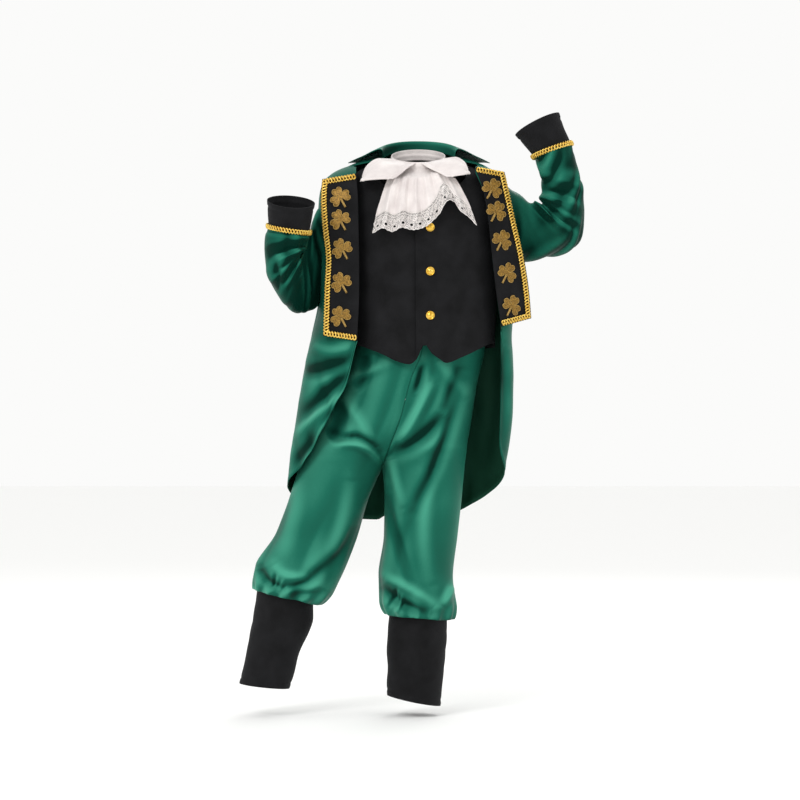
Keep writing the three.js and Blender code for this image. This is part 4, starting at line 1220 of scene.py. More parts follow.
def collar_surface(u: np.ndarray, v: np.ndarray) -> np.ndarray:
    """The fall collar: a section swept round the neck ring of the coat.

    Args:
        u: shares round the neck, from the right front.
        v: shares of the section.

    Returns:
        The points.
    """
    degrees = mix(180 - COLLAR_START, 360 + COLLAR_START, u)
    left = degrees >= 270
    angle = np.where(left, degrees - 360, 180 - degrees)
    level = np.zeros_like(angle)
    right_neck = ring_point(COAT_RINGS, 2, Side.RIGHT, angle, level)
    neck = np.where(left[..., None], ring_point(COAT_RINGS, 2, Side.LEFT, angle, level), right_neck)
    outward = np.stack([neck[..., 0] - COAT_RINGS.at("middle", level), neck[..., 1], 0 * angle], -1)
    outward /= np.linalg.norm(outward, axis=-1, keepdims=True)
    sideways = np.cos(np.radians(degrees)) ** 2
    out = mix(COLLAR_SECTION.at("backOut", v * 6), COLLAR_SECTION.at("sideOut", v * 6), sideways)
    up = mix(COLLAR_SECTION.at("backUp", v * 6), COLLAR_SECTION.at("sideUp", v * 6), sideways)
    points = neck + outward * out[..., None]
    points[..., 2] += up
    return points


# Trims

def new_piece(name: str, mesh: bmesh.types.BMesh, finishes: Sequence[Finish],
              nodes: Sequence[str]) -> bpy.types.Object:
    """Makes an object from a mesh, rides it on the costume and hides the nodes it stands for.

    Args:
        name: the piece's name.
        mesh: its mesh, which is freed.
        finishes: its materials.
        nodes: the nodes it stands for.

    Returns:
        The object.
    """
    data = bpy.data.meshes.new(name)
    bmesh.ops.recalc_face_normals(mesh, faces=mesh.faces)
    for face in mesh.faces:
        face.smooth = True
    mesh.to_mesh(data)
    mesh.free()
    for finish in finishes:
        data.materials.append(finish.build())
    piece = bpy.data.objects.new(name, data)
    bpy.context.scene.collection.objects.link(piece)
    LOG.info("%s: %d faces", name, len(data.polygons))
    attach(piece, BODY)
    if nodes:
        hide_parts(*nodes)
    return piece


def add_tube(mesh: bmesh.types.BMesh, path: np.ndarray, radius: float, closed: bool, sides: int = 6) -> None:
    """Adds a round cord along a path of points in millimetres.

    Args:
        mesh: the mesh it joins.
        path: the points.
        radius: the cord's radius.
        closed: whether the path meets itself.
        sides: how many sides the cord has.
    """
    ahead = np.roll(path, -1, 0) - np.roll(path, 1, 0) if closed else np.gradient(path, axis=0)
    ahead /= np.maximum(np.linalg.norm(ahead, axis=-1, keepdims=True), 1e-9)
    side = np.cross(ahead, np.array([0.13, -0.9, 0.41]))
    side /= np.maximum(np.linalg.norm(side, axis=-1, keepdims=True), 1e-9)
    up = np.cross(side, ahead)
    rings = []
    for centre, a, b in zip(path, side, up):
        turns = [math.tau * k / sides for k in range(sides)]
        ring = [centre + radius * (math.cos(t) * a + math.sin(t) * b) for t in turns]
        rings.append([mesh.verts.new(Vector(point) * MM) for point in ring])
    count = len(rings)
    for j in range(count if closed else count - 1):
        for k in range(sides):
            m = (k + 1) % sides
            n = (j + 1) % count
            mesh.faces.new((rings[j][k], rings[j][m], rings[n][m], rings[n][k]))
    if not closed:
        mesh.faces.new(rings[0])
        mesh.faces.new(rings[-1])


@dataclass
class Braid:
    """Gimp braid along a path: two cords that wave across each other, edge to edge."""

    name: str
    nodes: Sequence[str]
    path: np.ndarray
    sideways: np.ndarray
    outward: np.ndarray
    closed: bool = False
    width: float = 9.0
    pitch: float = 8.8
    cord: float = 1.2
    inset: float = 1.0
    lift: float = 1.0
    bluntness: float = 0.75

    def build(self) -> bpy.types.Object:
        """Makes the braid as one piece.

        Returns:
            The object.
        """
        mesh = bmesh.new()
        side = self.sideways / np.linalg.norm(self.sideways, axis=-1, keepdims=True)
        out = self.outward / np.linalg.norm(self.outward, axis=-1, keepdims=True)
        steps = np.linalg.norm(np.diff(self.path, axis=0), axis=-1)
        along = np.concatenate([[0], np.cumsum(steps)])
        whole = along[-1] + (np.linalg.norm(self.path[0] - self.path[-1]) if self.closed else 0)
        pitch = whole / round(whole / self.pitch)
        phase = math.tau * along / pitch
        reach = self.width / 2 - self.inset
        for edge in (-1, 1):
            wave = reach * edge * signed_power(np.sin(phase), self.bluntness)
            lift = self.lift + self.lift * edge * np.cos(phase)
            cord = self.path + side * wave[:, None] + out * lift[:, None]
            add_tube(mesh, cord, self.cord, self.closed)
        return new_piece(self.name, mesh, [BRAID], self.nodes)


def facing_y(side: Side, x: np.ndarray, z: np.ndarray) -> np.ndarray:
    """How far forward the back of a lapel lies at a place across and up.

    Args:
        side: the side.
        x: places across.
        z: places up.

    Returns:
        The Y of each place.
    """
    fold = LAPELS[side].at("fold", z)
    front = front_at(COAT_RINGS, COAT_SQUARE, fold, z)
    return front - FACING_LIFT + LAPELS[side].at("slant", z) * np.abs(x - fold)


def facing_point(side: Side, u: np.ndarray, v: np.ndarray, ahead: float = 0.0) -> np.ndarray:
    """Points of a lapel.

    Args:
        side: the side.
        u: shares from the fold to the outer edge.
        v: shares from the top down.
        ahead: how far they stand off the back of the lapel.

    Returns:
        The points.
    """
    fold_z = mix(FACING_TOP[side] + 8, FACING_BOTTOM[side] - 5, v)
    rise = 3 if side is Side.RIGHT else 8
    edge_z = mix(FACING_TOP[side], FACING_BOTTOM[side] + rise, v)
    z = mix(fold_z, edge_z, u)
    x = mix(LAPELS[side].at("fold", z), LAPELS[side].at("edge", z), u)
    return np.stack([x, facing_y(side, x, z) - ahead, z], -1)


def lapel_face(side: Side) -> Surface:
    """The outer surface of a lapel.

    Args:
        side: the side.

    Returns:
        The surface.
    """

    def surface(u: np.ndarray, v: np.ndarray) -> np.ndarray:
        """Points by shares across and down."""
        return facing_point(side, u, v, FACING_THICK)

    return surface


BADGES = {
    Side.RIGHT: ((-108, -23), (-108, -57), (-105, -100), (-106, -150), (-107, -200)),
    Side.LEFT: ((117, -10), (123, -44), (131, -87), (139, -135), (146, -183)),
}
BADGE_SIZE = 16.0
BADGE_STEM = 17.0
BADGE_STEM_TURN = 0.5
BADGE_STEM_WIDE = 0.9
# The dome of a badge: shares of its outline, and how far each stands off the lapel.
BADGE_HUB = 1.9
BADGE_DOME = ((0.35, 1.8), (0.7, 2.1), (0.93, 1.8), (1.0, 0.9), (1.0, 0.3))
LOBE_SPACING = 1.75
LOBE_REACH = 0.85
LOBE_WAIST = 0.16


def badge_outline(turn: int, steps: int = 26) -> list[tuple[float, float]]:
    """The outline of a three-leaf badge with a stem that leans to one side.

    Args:
        turn: 1 or -1, the side to which the stem leans.
        steps: how many points each leaf has.

    Returns:
        The points, across and up from the badge's middle.
    """
    outline = []
    down = -math.pi / 2 + turn * BADGE_STEM_TURN
    for place in (-1, 0, 1):
        for step in range(steps + 1):
            t = -1 + 2 * step / steps
            narrowed = mix(LOBE_WAIST, 1, math.sqrt(1 - abs(t) ** 3.2))
            radius = BADGE_SIZE * (1 - 0.18 * math.exp(-t * t * 26)) * narrowed
            angle = down + math.pi + place * LOBE_SPACING + t * LOBE_REACH
            outline.append((math.cos(angle) * radius, math.sin(angle) * radius))
    foot = Vector((math.cos(down), math.sin(down))) * BADGE_STEM
    across = Vector((-foot.y, foot.x)).normalized() * BADGE_STEM_WIDE
    outline.append(tuple(foot - across))
    outline.append(tuple(foot + across))
    return outline


@dataclass
class Lapels:
    """The turned-back facings, their braid and their leaf badges."""

    braid_wide: float = 9.0
    braid_in: float = 4.6
    braid_lift: float = 0.9
    braid_start: float = 0.02
    edge_cord: float = 0.55
    edge_lift: float = 1.5
    stem_cord: float = 0.8
    stem_lift: float = 2.0
    stem_from: float = 2.5
    stem_to: float = 16.0

    def build(self) -> None:
        """Makes both sides."""
        for side in Side:
            label = side.label
            Sheet(f"lapel_{label}_cloth", [f"lapel_{label}"], lapel_face(side), 40, 120, BLACK,
                  flip=side is Side.LEFT, thickness=FACING_THICK, ripple=(30.0, 0.3), held="folded").build()
            self.braid(side)
            for index, (x, z) in enumerate(BADGES[side]):
                self.badge(side, x, z, f"shamrock_{label}_{index + 1}")

    def braid(self, side: Side) -> None:
        """Makes the braid along the top, the outer edge and the bottom of a lapel.

        Args:
            side: the side.
        """
        tall = FACING_TOP[side] - FACING_BOTTOM[side]
        u0, u1 = self.braid_start, 1 - self.braid_in / FACING_WIDE[side]
        v0, v1 = self.braid_in / tall, 1 - self.braid_in / tall
        spots = []
        runs = (((u0, v0), (u1, v0), 60), ((u1, v0), (u1, v1), 300), ((u1, v1), (u0, v1), 60))
        for start, end, steps in runs:
            shares = np.linspace(0, 1, steps, endpoint=False)
            spots.extend(mix(np.array(start), np.array(end), share) for share in shares)
        spots.append(np.array((u0, v1)))
        u, v = np.array(spots).T
        path = facing_point(side, u, v, FACING_THICK + self.braid_lift)
        ahead = np.gradient(path, axis=0)
        outward = np.tile(np.array([0.0, -1.0, 0.0]), (len(path), 1))
        outward[:, 0] = side.value * LAPELS[side].at("slant", path[:, 2])
        Braid(f"lapel_braid_{side.label}_gimp", [f"lapel_braid_{side.label}"], path,
              np.cross(ahead, outward), outward, width=self.braid_wide).build()

    def badge(self, side: Side, x: float, z: float, node: str) -> None:
        """Makes one badge: a domed leaf plate with an edge cord and stem painted lighter, as a rim glint.

        Args:
            side: the side.
            x: its place across.
            z: its place up.
            node: the node it stands for.
        """
        squeeze = math.cos(math.atan(float(LAPELS[side].at("slant", z))))
        turn = 1 if side is Side.RIGHT else -1
        outline = badge_outline(turn)

        def spot(place: Sequence[float], ahead: float) -> Vector:
            """A place of the badge, ahead of its lapel, in metres."""
            px, pz = x + place[0] * squeeze, z + place[1]
            return Vector((px, float(facing_y(side, px, pz)) - FACING_THICK - ahead, pz)) * MM

        mesh = bmesh.new()
        hub = mesh.verts.new(spot((0, 0), BADGE_HUB))
        rings = []
        for share, ahead in BADGE_DOME:
            rings.append([mesh.verts.new(spot((p[0] * share, p[1] * share), ahead)) for p in outline])
        count = len(outline)
        for k in range(count):
            m = (k + 1) % count
            mesh.faces.new((hub, rings[0][k], rings[0][m]))
            for a, b in zip(rings, rings[1:]):
                mesh.faces.new((a[k], b[k], b[m], a[m]))
        plate = new_piece(f"{node}_plate", mesh, [FOIL], [node])
        plate.data.validate()
        # The edge cord and stem take the foil painted lighter, as a rim glint.
        edge = bmesh.new()
        loop = np.array([np.array(spot(p, self.edge_lift)) / MM for p in outline])
        add_tube(edge, loop, self.edge_cord, True, 5)
        down = -math.pi / 2 + turn * BADGE_STEM_TURN
        reaches = np.linspace(self.stem_from, self.stem_to, 8)
        stem = [spot((math.cos(down) * reach, math.sin(down) * reach), self.stem_lift) for reach in reaches]
        add_tube(edge, np.array([np.array(place) / MM for place in stem]), self.stem_cord, False)
        new_piece(f"{node}_edge", edge, [FOIL_GLINT_EDGE], [])


# Waistcoat

VEST_HEM = Table("x z", [
    (-98, -240), (-81, -242), (-64, -248), (-44, -256), (-26, -265), (-6, -270), (5, -262), (15, -240),
    (27, -254), (38, -262), (48, -268), (70, -260), (95, -248), (111, -240), (122, -236),
])
VEST_EDGE = {
    Side.RIGHT: Table("level angle", [(0, 40), (1, 44), (2, 52), (3, 70), (3.6, 84), (3.9, 90), (8, 90)]),
    Side.LEFT: Table("level angle", [(0, 40), (1, 44), (2, 52), (3, 70), (3.6, 84), (3.9, 93.5), (8, 93.5)]),
}
VEST_LAP_FROM, VEST_LAP_TO, VEST_LAP_RISE = 80.0, 90.0, 3.6
VEST_BACK_HEM = -244.0
VEST_LOWEST = 7.9
BUTTONS = ((25, -68), (25, -133), (25, -198))
# Half the section of a button: a dome, a groove, a rim and a flat back, as shares of radius and height.
BUTTON_SECTION = ((0, 1.02), (0.3, 0.97), (0.5, 0.86), (0.66, 0.68), (0.74, 0.6), (0.8, 0.66), (0.86, 0.8),
                  (0.93, 0.8), (1, 0.66), (1.03, 0.45), (1, 0.2), (0.85, 0.0), (0, 0.0))
ARM_HOLE = {"y": -2.0, "z": -48.0, "deep": 38.0, "tall": 46.0}
VEST_CREASES = (
    (-10, -70, 20, -95, 60, -100, -1.6, 8), (-40, -150, 0, -160, 30, -150, 1.4, 9),
    (30, -190, 60, -205, 95, -195, -1.8, 8), (-50, -205, -20, -215, 10, -208, -1.6, 8),
    (50, -120, 75, -135, 100, -130, 1.4, 9), (-60, -120, -40, -180, -45, -240, -1.4, 9),
    (70, -150, 66, -190, 74, -240, 1.4, 8),
)


def vest_front(side: Side) -> Surface:
    """The surface of a vest front, whose edge leaves the centre above the neckline.

    Args:
        side: the side.

    Returns:
        The surface.
    """

    def surface(u: np.ndarray, v: np.ndarray) -> np.ndarray:
        """Places points of the sheet.

        Args:
            u: shares across.
            v: shares down.

        Returns:
            The points.
        """
        level = v * VEST_LOWEST
        first = ring_point(VEST_RINGS, VEST_SQUARE, side, u * VEST_EDGE[side].at("angle", level), level)
        lowered = v * level_at(VEST_RINGS, VEST_HEM.at("z", first[..., 0]))
        angle = u * VEST_EDGE[side].at("angle", lowered)
        points = ring_point(VEST_RINGS, VEST_SQUARE, side, angle, lowered)
        if side is Side.LEFT:
            points[..., 1] -= VEST_LAP_RISE * smoothstep(angle, VEST_LAP_FROM, VEST_LAP_TO)
        return points

    return surface


def vest_back(u: np.ndarray, v: np.ndarray) -> np.ndarray:
    """The surface of the vest's back, from the right side seam to the left one.

    Args:
        u: shares across.
        v: shares down.

    Returns:
        The points.
    """
    level = v * level_at(VEST_RINGS, np.full_like(u, VEST_BACK_HEM))
    degrees = u * 180
    right = ring_point(VEST_RINGS, VEST_SQUARE, Side.RIGHT, -degrees, level)
    left = ring_point(VEST_RINGS, VEST_SQUARE, Side.LEFT, degrees - 180, level)
    return np.where((degrees < 90)[..., None], right, left)


def arm_hole(side: Side) -> BVHTree:
    """The solid that leaves an armhole in the vest.

    Args:
        side: the side.

    Returns:
        The tree of its faces.
    """
    turn, reach = np.meshgrid(np.arange(40) / 40 * math.tau, np.array([60.0, 160.0]))
    y = ARM_HOLE["y"] + ARM_HOLE["deep"] * np.cos(turn)
    z = ARM_HOLE["z"] + ARM_HOLE["tall"] * np.sin(turn)
    return solid_tree(np.stack([side.value * reach, y, z], -1))


@dataclass
class Waistcoat:
    """The waistcoat and its three buttons."""

    button_radius: float = 6.5
    button_height: float = 4.2
    button_lift: float = 2.0
    button_steps: int = 48

    def build(self) -> None:
        """Makes the fronts, the back and the buttons."""
        for side in Side:
            Sheet(f"vest_front_{side.label}_cloth", [f"vest_front_{side.label}"], vest_front(side), 60, 90,
                  BLACK, flip=side is Side.RIGHT, hem=("bottom", "end"), creases=VEST_CREASES,
                  hole=arm_hole(side)).build()
        Sheet("vest_back_cloth", ["vest_back"], vest_back, 80, 60, BLACK, hem=("bottom",)).build()
        for index, (x, z) in enumerate(BUTTONS):
            self.button(index + 1, x, z)

    def button(self, number: int, x: float, z: float) -> None:
        """Makes a domed button with a groove and a raised rim.

        Args:
            number: the button's number, from the top.
            x: its place across.
            z: its place up.
        """
        mesh = bmesh.new()
        wide, tall = self.button_radius * MM, self.button_height * MM
        spots = [mesh.verts.new((out * wide, 0, up * tall)) for out, up in BUTTON_SECTION]
        edges = [mesh.edges.new(pair) for pair in zip(spots, spots[1:])]
        bmesh.ops.spin(mesh, geom=spots + edges, axis=(0, 0, 1), cent=(0, 0, 0), steps=self.button_steps,
                       angle=math.tau, use_merge=True)
        bmesh.ops.remove_doubles(mesh, verts=mesh.verts, dist=1e-6)
        bmesh.ops.rotate(mesh, verts=mesh.verts, cent=(0, 0, 0),
                         matrix=Matrix.Rotation(math.pi / 2, 3, "X"))
        front = float(front_at(VEST_RINGS, VEST_SQUARE, np.array(float(x)), np.array(float(z))))
        bmesh.ops.translate(mesh, verts=mesh.verts, vec=Vector((x, front - self.button_lift, z)) * MM)
        new_piece(f"button_{number}_brass", mesh, [BRASS], [f"button_{number}"])


# Neckwear

NECK_X, NECK_Y, NECK_RADIUS, NECK_FLARE = 8.0, 3.0, 40.0, 3.0
NECK_Z, NECK_LEAN, NECK_TALL = 26.0, 0.32, 17.0
LEAF = "row frontX frontY frontZ backX backY backZ"
LEAVES = {
    Side.RIGHT: Table(LEAF, [
        (0, 4, -37.1, 29.5, -29.2, -12, 38), (1, -7, -56, 22, -50, -22, 38),
        (2, -20, -70, 10, -70, -42, 24), (3, -30, -77, 3, -78, -66, 0),
    ]),
    Side.LEFT: Table(LEAF, [
        (0, 12, -37.1, 29.5, 45.2, -12, 38), (1, 22, -56, 22, 62, -22, 40),
        (2, 40, -70, 12, 76, -38, 32), (3, 50, -77, 6, 84, -60, 12),
    ]),
}
JABOT_HEM = Table("x z", [
    (-60, -77), (-45, -70), (-31, -75), (-16, -69), (0, -73), (19, -67), (30, -58), (40, -46), (46, -34),
    (54, -28), (61, -31), (69, -44), (82, -53), (93, -66),
])
LEAF_BOW = 6.4
JABOT_TOP = 21.0
JABOT_TOP_LEFT, JABOT_TOP_RIGHT = -22.0, 38.0
JABOT_LEFT, JABOT_RIGHT = -60.0, 93.0
JABOT_NECK = 42.1
JABOT_LACE = 25.0
LACE_HOLE = 2.5
LACE_DROP = 7.0
LACE_COUNT = 12
SCALLOPS = 24
SCALLOP_DEPTH = 0.9


def stand_point(u: np.ndarray, v: np.ndarray) -> np.ndarray:
    """The stand of the collar, round the neck.

    Args:
        u: shares round the neck.
        v: shares down.

    Returns:
        The points.
    """
    turn = u * math.tau
    radius = NECK_RADIUS + NECK_FLARE * v
    y = NECK_Y + radius * np.sin(turn)
    return np.stack([NECK_X + radius * np.cos(turn), y, NECK_Z + NECK_LEAN * y + NECK_TALL * (1 - v)], -1)


def leaf_point(side: Side) -> Surface:
    """The surface of a collar leaf, bowed out between its front end and its shoulder end.

    Args:
        side: the side.

    Returns:
        The surface.
    """

    def surface(u: np.ndarray, v: np.ndarray) -> np.ndarray:
        """Places points of the sheet.

        Args:
            u: shares across.
            v: shares down.

        Returns:
            The points.
        """
        front = np.stack([LEAVES[side].at("front" + axis, v * 3) for axis in "XYZ"], -1)
        back = np.stack([LEAVES[side].at("back" + axis, v * 3) for axis in "XYZ"], -1)
        bow = 4 * u * (1 - u) * (LEAF_BOW + 6 * v)
        shift = np.stack([side.value * 0.6 * bow, -0.8 * bow, 0 * bow], -1)
        return front + (back - front) * u[..., None] + shift

    return surface


def jabot_point(u: np.ndarray, share: np.ndarray, drop: np.ndarray) -> np.ndarray:
    """Points of the jabot, with its fine gathers.

    Args:
        u: shares across.
        share: shares down.
        drop: how far above the hem the last share lies.

    Returns:
        The points.
    """
    hem_x = mix(JABOT_LEFT, JABOT_RIGHT, u)
    hem_z = JABOT_HEM.at("z", hem_x)
    z = mix(JABOT_TOP, hem_z + drop, share)
    fall = (JABOT_TOP - z) / (JABOT_TOP - hem_z)
    x = mix(mix(JABOT_TOP_LEFT, JABOT_TOP_RIGHT, u), hem_x, np.sqrt(np.maximum(fall, 0)))
    chest = front_at(VEST_RINGS, VEST_SQUARE, np.clip(x, -50, 76), np.minimum(z, 10))
    ahead = mix(4.5, 18, smoothstep(fall, 0.25, 0.7))
    wave = 5 * (0.2 + 0.8 * fall) * np.sin(math.tau * 6.5 * u + 0.8 * fall)
    gathers = 0.7 * (1.1 - 0.5 * fall) * np.sin(math.tau * 15.3 * u + 2.1 * np.sin(fall * 4))
    gathers = gathers + 1.2 * fall * np.sin(math.tau * 3.1 * u + 1.2 + 1.6 * fall)
    neck = NECK_Y - np.sqrt(np.maximum(JABOT_NECK**2 - (x - NECK_X) ** 2, 0))
    y = mix(neck, chest - ahead + wave + gathers, smoothstep(fall, 0, 0.18))
    return np.stack([x, y, z], -1)


def jabot_face(u: np.ndarray, v: np.ndarray) -> np.ndarray:
    """The surface of the jabot down to its lace."""
    return jabot_point(u, v, np.full_like(u, JABOT_LACE))


def lace_face(u: np.ndarray, v: np.ndarray) -> np.ndarray:
    """The surface of the lace, down to its scalloped edge."""
    scallop = SCALLOP_DEPTH * np.abs(np.cos(math.pi * SCALLOPS * u)) - SCALLOP_DEPTH
    return jabot_point(u, np.ones_like(u), mix(JABOT_LACE, scallop, v))


@dataclass
class Neckwear:
    """The stand, its two leaves, and the jabot with its lace."""

    run_cord: float = 0.55
    ring_cord: float = 0.5
    ring: float = 3.1
    petal_depth: float = 0.28
    flower_drop: float = 13.5
    flower_tall: float = 1.25
    lace_wide: float = 150.0
    cord_steps: int = 900

    def build(self) -> None:
        """Makes every piece of the neckwear."""
        Sheet("collar_stand_satin", ["collar_stand"], stand_point, 96, 12, WHITE, ringed=True, flip=True,
              hem=("top",), ripple=(10.0, 0.3)).build()
        for side in Side:
            Sheet(f"collar_leaf_{side.label}_satin", [f"collar_leaf_{side.label}"], leaf_point(side), 60, 36,
                  WHITE, flip=side is Side.LEFT, hem=("bottom", "start", "end"), ripple=(22.0, 0.8),
                  held="folded").build()
        Sheet("jabot_satin", ["jabot"], jabot_face, 260, 44, WHITE, flip=True, ripple=(9.0, 0.3),
              held="gathered").build()
        self.lace()

    def lace(self) -> None:
        """Makes the lace band: a net with scalloped edge, round gaps, flowers and corded outlines."""
        Sheet("jabot_lace_net", ["jabot_lace"], lace_face, 360, 26, LACE, flip=True, thickness=0.7,
              ripple=(9.0, 0.2), held="gathered", hole=self.gaps()).build()
        mesh = bmesh.new()
        u = np.linspace(0, 1, self.cord_steps)
        ahead = np.array([0.0, -0.9, 0.0])
        for level, wave in ((JABOT_LACE, 0.0), (JABOT_LACE - 4.5, 0.0), (0.4, 1.0)):
            drop = level + wave * (0.8 * np.abs(np.cos(math.pi * SCALLOPS * u)) - 0.8)
            add_tube(mesh, jabot_point(u, np.ones_like(u), drop) + ahead, self.run_cord, False, 5)
        turn = np.linspace(0, math.tau, 60, endpoint=False)
        for index in range(LACE_COUNT * 2):
            if index % 2:
                place, height, tall, petals = (index // 2 + 0.5) / LACE_COUNT, LACE_DROP, 1.0, 0.0
            else:
                place, height = (index + 0.5) / (LACE_COUNT * 2), self.flower_drop
                tall, petals = self.flower_tall, self.petal_depth
            reach = self.ring * (1 + petals * np.cos(turn * 6))
            across = place + np.cos(turn) * reach / self.lace_wide
            up = height + np.sin(turn) * reach * tall
            add_tube(mesh, jabot_point(across, np.ones_like(across), up) + ahead, self.ring_cord, True, 5)
        new_piece("jabot_lace_cords", mesh, [LACE], [])

    def gaps(self) -> BVHTree:
        """The solids that leave the round gaps of the lace.

        Returns:
            The tree of their faces.
        """
        corners: list[Vector] = []
        faces: list[tuple[int, ...]] = []
        for index in range(LACE_COUNT):
            place = np.array((index + 0.5) / LACE_COUNT)
            centre = jabot_point(place, np.array(1.0), np.array(LACE_DROP))
            first = len(corners)
            for reach in (-9, 9):
                for k in range(16):
                    turn = math.tau * k / 16
                    corners.append(Vector((centre[0] + LACE_HOLE * math.cos(turn), centre[1] + reach,
                                           centre[2] + LACE_HOLE * math.sin(turn))))
            for k in range(16):
                m = (k + 1) % 16
                faces.append((first + k, first + m, first + 16 + m, first + 16 + k))
            faces.append(tuple(first + k for k in range(16)))
            faces.append(tuple(first + 16 + k for k in range(16)))
        return BVHTree.FromPolygons(corners, faces)


# Breeches

LEG = "row z outer inner seam front back y lean"
LEGS = {
    Side.RIGHT: Table(LEG, [
        (0, -196, -80, 16, 90, 70, 58, 0, 0), (1, -245, -88, 13, 93, 74, 66, 0, 0),
        (2, -293, -108, -4, 98, 77, 74, 1, 0), (3, -350, -138, -19, 110, 78, 78, 2, 0),
        (4, -392, -160, -35, 134, 77, 78, 3, 0), (5, -412, -168, -42, 158, 73, 75, 4, 0),
        (6, -424, -172, -46, 179.5, 70, 72, 4, 0), (7, -467, -183, -66, 180, 66, 70, 4, -2),
        (8, -525, -204, -84, 180, 64, 68, 4, -5), (9, -578, -236, -107, 180, 66, 70, 5, -9),
        (10, -606, -240, -124, 180, 62, 66, 6, -12), (11, -618, -239, -139, 180, 50, 54, 7, -12),
        (12, -610, -234.3, -147.7, 180, 42, 46, 7, -12),
    ]),
    Side.LEFT: Table(LEG, [
        (0, -196, 112, 16, 90, 70, 58, 0, 0), (1, -245, 108, 13, 93, 74, 66, 0, 0),
        (2, -293, 97, -4, 98, 77, 74, 1, 0), (3, -350, 88, -19, 110, 78, 78, 2, 0),
        (4, -392, 81, -35, 134, 77, 78, 3, 0), (5, -412, 79, -42, 158, 73, 75, 4, 0),
        (6, -424, 77, -46, 179.5, 70, 72, 4, 0), (7, -467, 73, -43, 180, 68, 70, 4, 0),
        (8, -525, 67, -44, 180, 66, 68, 4, 0), (9, -585, 60, -52, 180, 66, 70, 5, 2),
        (10, -628, 65, -50, 180, 62, 66, 6, 4), (11, -648, 60, -41, 180, 50, 54, 7, 4),
        (12, -640, 54.3, -36.3, 180, 42, 46, 7, 4),
    ]),
}
LEG_TUBE = "row z outer inner front back y lean"
LEG_TUBES = {
    Side.RIGHT: Table(LEG_TUBE, [
        (0, -604, -232.5, -149.5, 40.2, 44.2, 7, -12), (1, -640, -236.5, -150, 37, 42, 8, -10),
        (2, -690, -247, -168, 35, 44, 10, -6), (3, -752, -261, -186, 36, 46, 12, -4),
    ]),
    Side.LEFT: Table(LEG_TUBE, [
        (0, -634, 52.5, -34.5, 40.2, 44.2, 7, 4), (1, -670, 51, -37, 37, 43, 8, 4),
        (2, -720, 46, -39, 36, 44, 10, 5), (3, -774, 41, -39, 38, 46, 12, 8),
    ]),
}
GATHER_COUNT, GATHER_DEPTH = 12, 2.0
FINE_COUNT, FINE_DEPTH = 31, 0.5
WRINKLE_DEPTH = 1.1
CROTCH_STEPS = (-0.9, -0.6, -0.3, 0.0, 0.3, 0.6, 0.9)
BAND_MIDDLE, BAND_HALF, BAND_FRONT, BAND_BACK, BAND_TOP, BAND_TALL = 16, 96, 70, 58, -169.8, 26
BAND_GATHERS, BAND_GATHER = 64, 0.7
# The way the long folds run down each leg.
LEG_RUN = {Side.RIGHT: (-0.5, -0.86), Side.LEFT: (-0.16, -0.98)}
LEG_CREASES = (
    (-72, -254, -66, -280, -82, -310, -5, 11), (-108, -322, -104, -366, -126, -382, -8, 15),
    (-106, -318, -78, -352, -52, -396, 4.5, 9), (-112, -388, -66, -380, -48, -420, 3.6, 7),
    (-96, -376, -58, -380, -46, -408, -4.5, 8), (-132, -366, -104, -384, -84, -378, -4, 9),
    (-30, -401, 22, -386, 48, -342, -7, 14), (-15, -382, 10, -342, 30, -294, 4.5, 10),
    (48, -342, 60, -310, 70, -270, -4.5, 11), (12, -270, 14, -290, 4, -312, -4.5, 8),
    (78, -280, 58, -380, 2, -486, -4.5, 11), (-33, -410, -22, -456, -14, -484, 3.6, 8),
    (-40, -460, -34, -520, 2, -604, -4.2, 10), (30, -420, 10, -520, 30, -600, 3, 14),
    (-132, -604, -106, -562, -84, -508, -5, 13), (-228, -572, -218, -606, -188, -600, -6, 9),
    (-188, -600, -146, -598, -106, -544, -5, 12), (-206, -566, -190, -596, -150, -584, 4, 9),
    (-176, -440, -166, -500, -196, -560, 3, 16), (-90, -440, -96, -500, -120, -560, 3, 14),
    (-184, -616, -160, -612, -132, -608, -3.6, 9), (-48, -598, -22, -632, 26, -642, -7, 11),
    (-42, -586, 0, -602, 32, -630, 4, 8), (58, -600, 56, -612, 44, -630, 4, 8),
    (-36, -632, -30, -616, -24, -600, -2.4, 4), (-26, -640, -20, -626, -16, -612, 2, 4),
    (-212, -604, -206, -592, -204, -580, -2.4, 4), (-200, -608, -196, -598, -190, -588, 2, 4),
    (-110, -300, -90, -290, -40, -272, 3, 9), (40, -262, 56, -290, 84, -320, 2.6, 10),
)
# The backs crease much as the fronts do, a little lower and softer.
LEG_BACK_CREASES = tuple((x0 + 6, z0 - 12, x1 - 4, z1 - 8, x2 + 4, z2 - 6, depth * 0.8, width * 1.15)
                         for x0, z0, x1, z1, x2, z2, depth, width in LEG_CREASES)


def leg_ring(rows: Table, side: Side, row: np.ndarray, angle: np.ndarray, seam: np.ndarray,
             swell: np.ndarray) -> np.ndarray:
    """Points of rings given by their outer and inner edges.

    Args:
        rows: the table of rings.
        side: the side.
        row: rows of the table.
        angle: degrees from the outside; the front is positive.
        seam: the angle of the inner edge.
        swell: how far the points move out.

    Returns:
        The points.
    """
    half = np.abs(rows.at("outer", row) - rows.at("inner", row)) / (1 - np.cos(np.radians(seam)))
    middle = rows.at("outer", row) - side.value * half
    turn = np.radians(angle)
    depth = np.where(angle >= 0, rows.at("front", row), rows.at("back", row))
    x = middle + side.value * (half + swell) * np.cos(turn)
    y = rows.at("y", row) - (depth + swell) * np.sin(turn)
    return np.stack([x, y, rows.at("z", row) - rows.at("lean", row) * np.cos(turn)], -1)


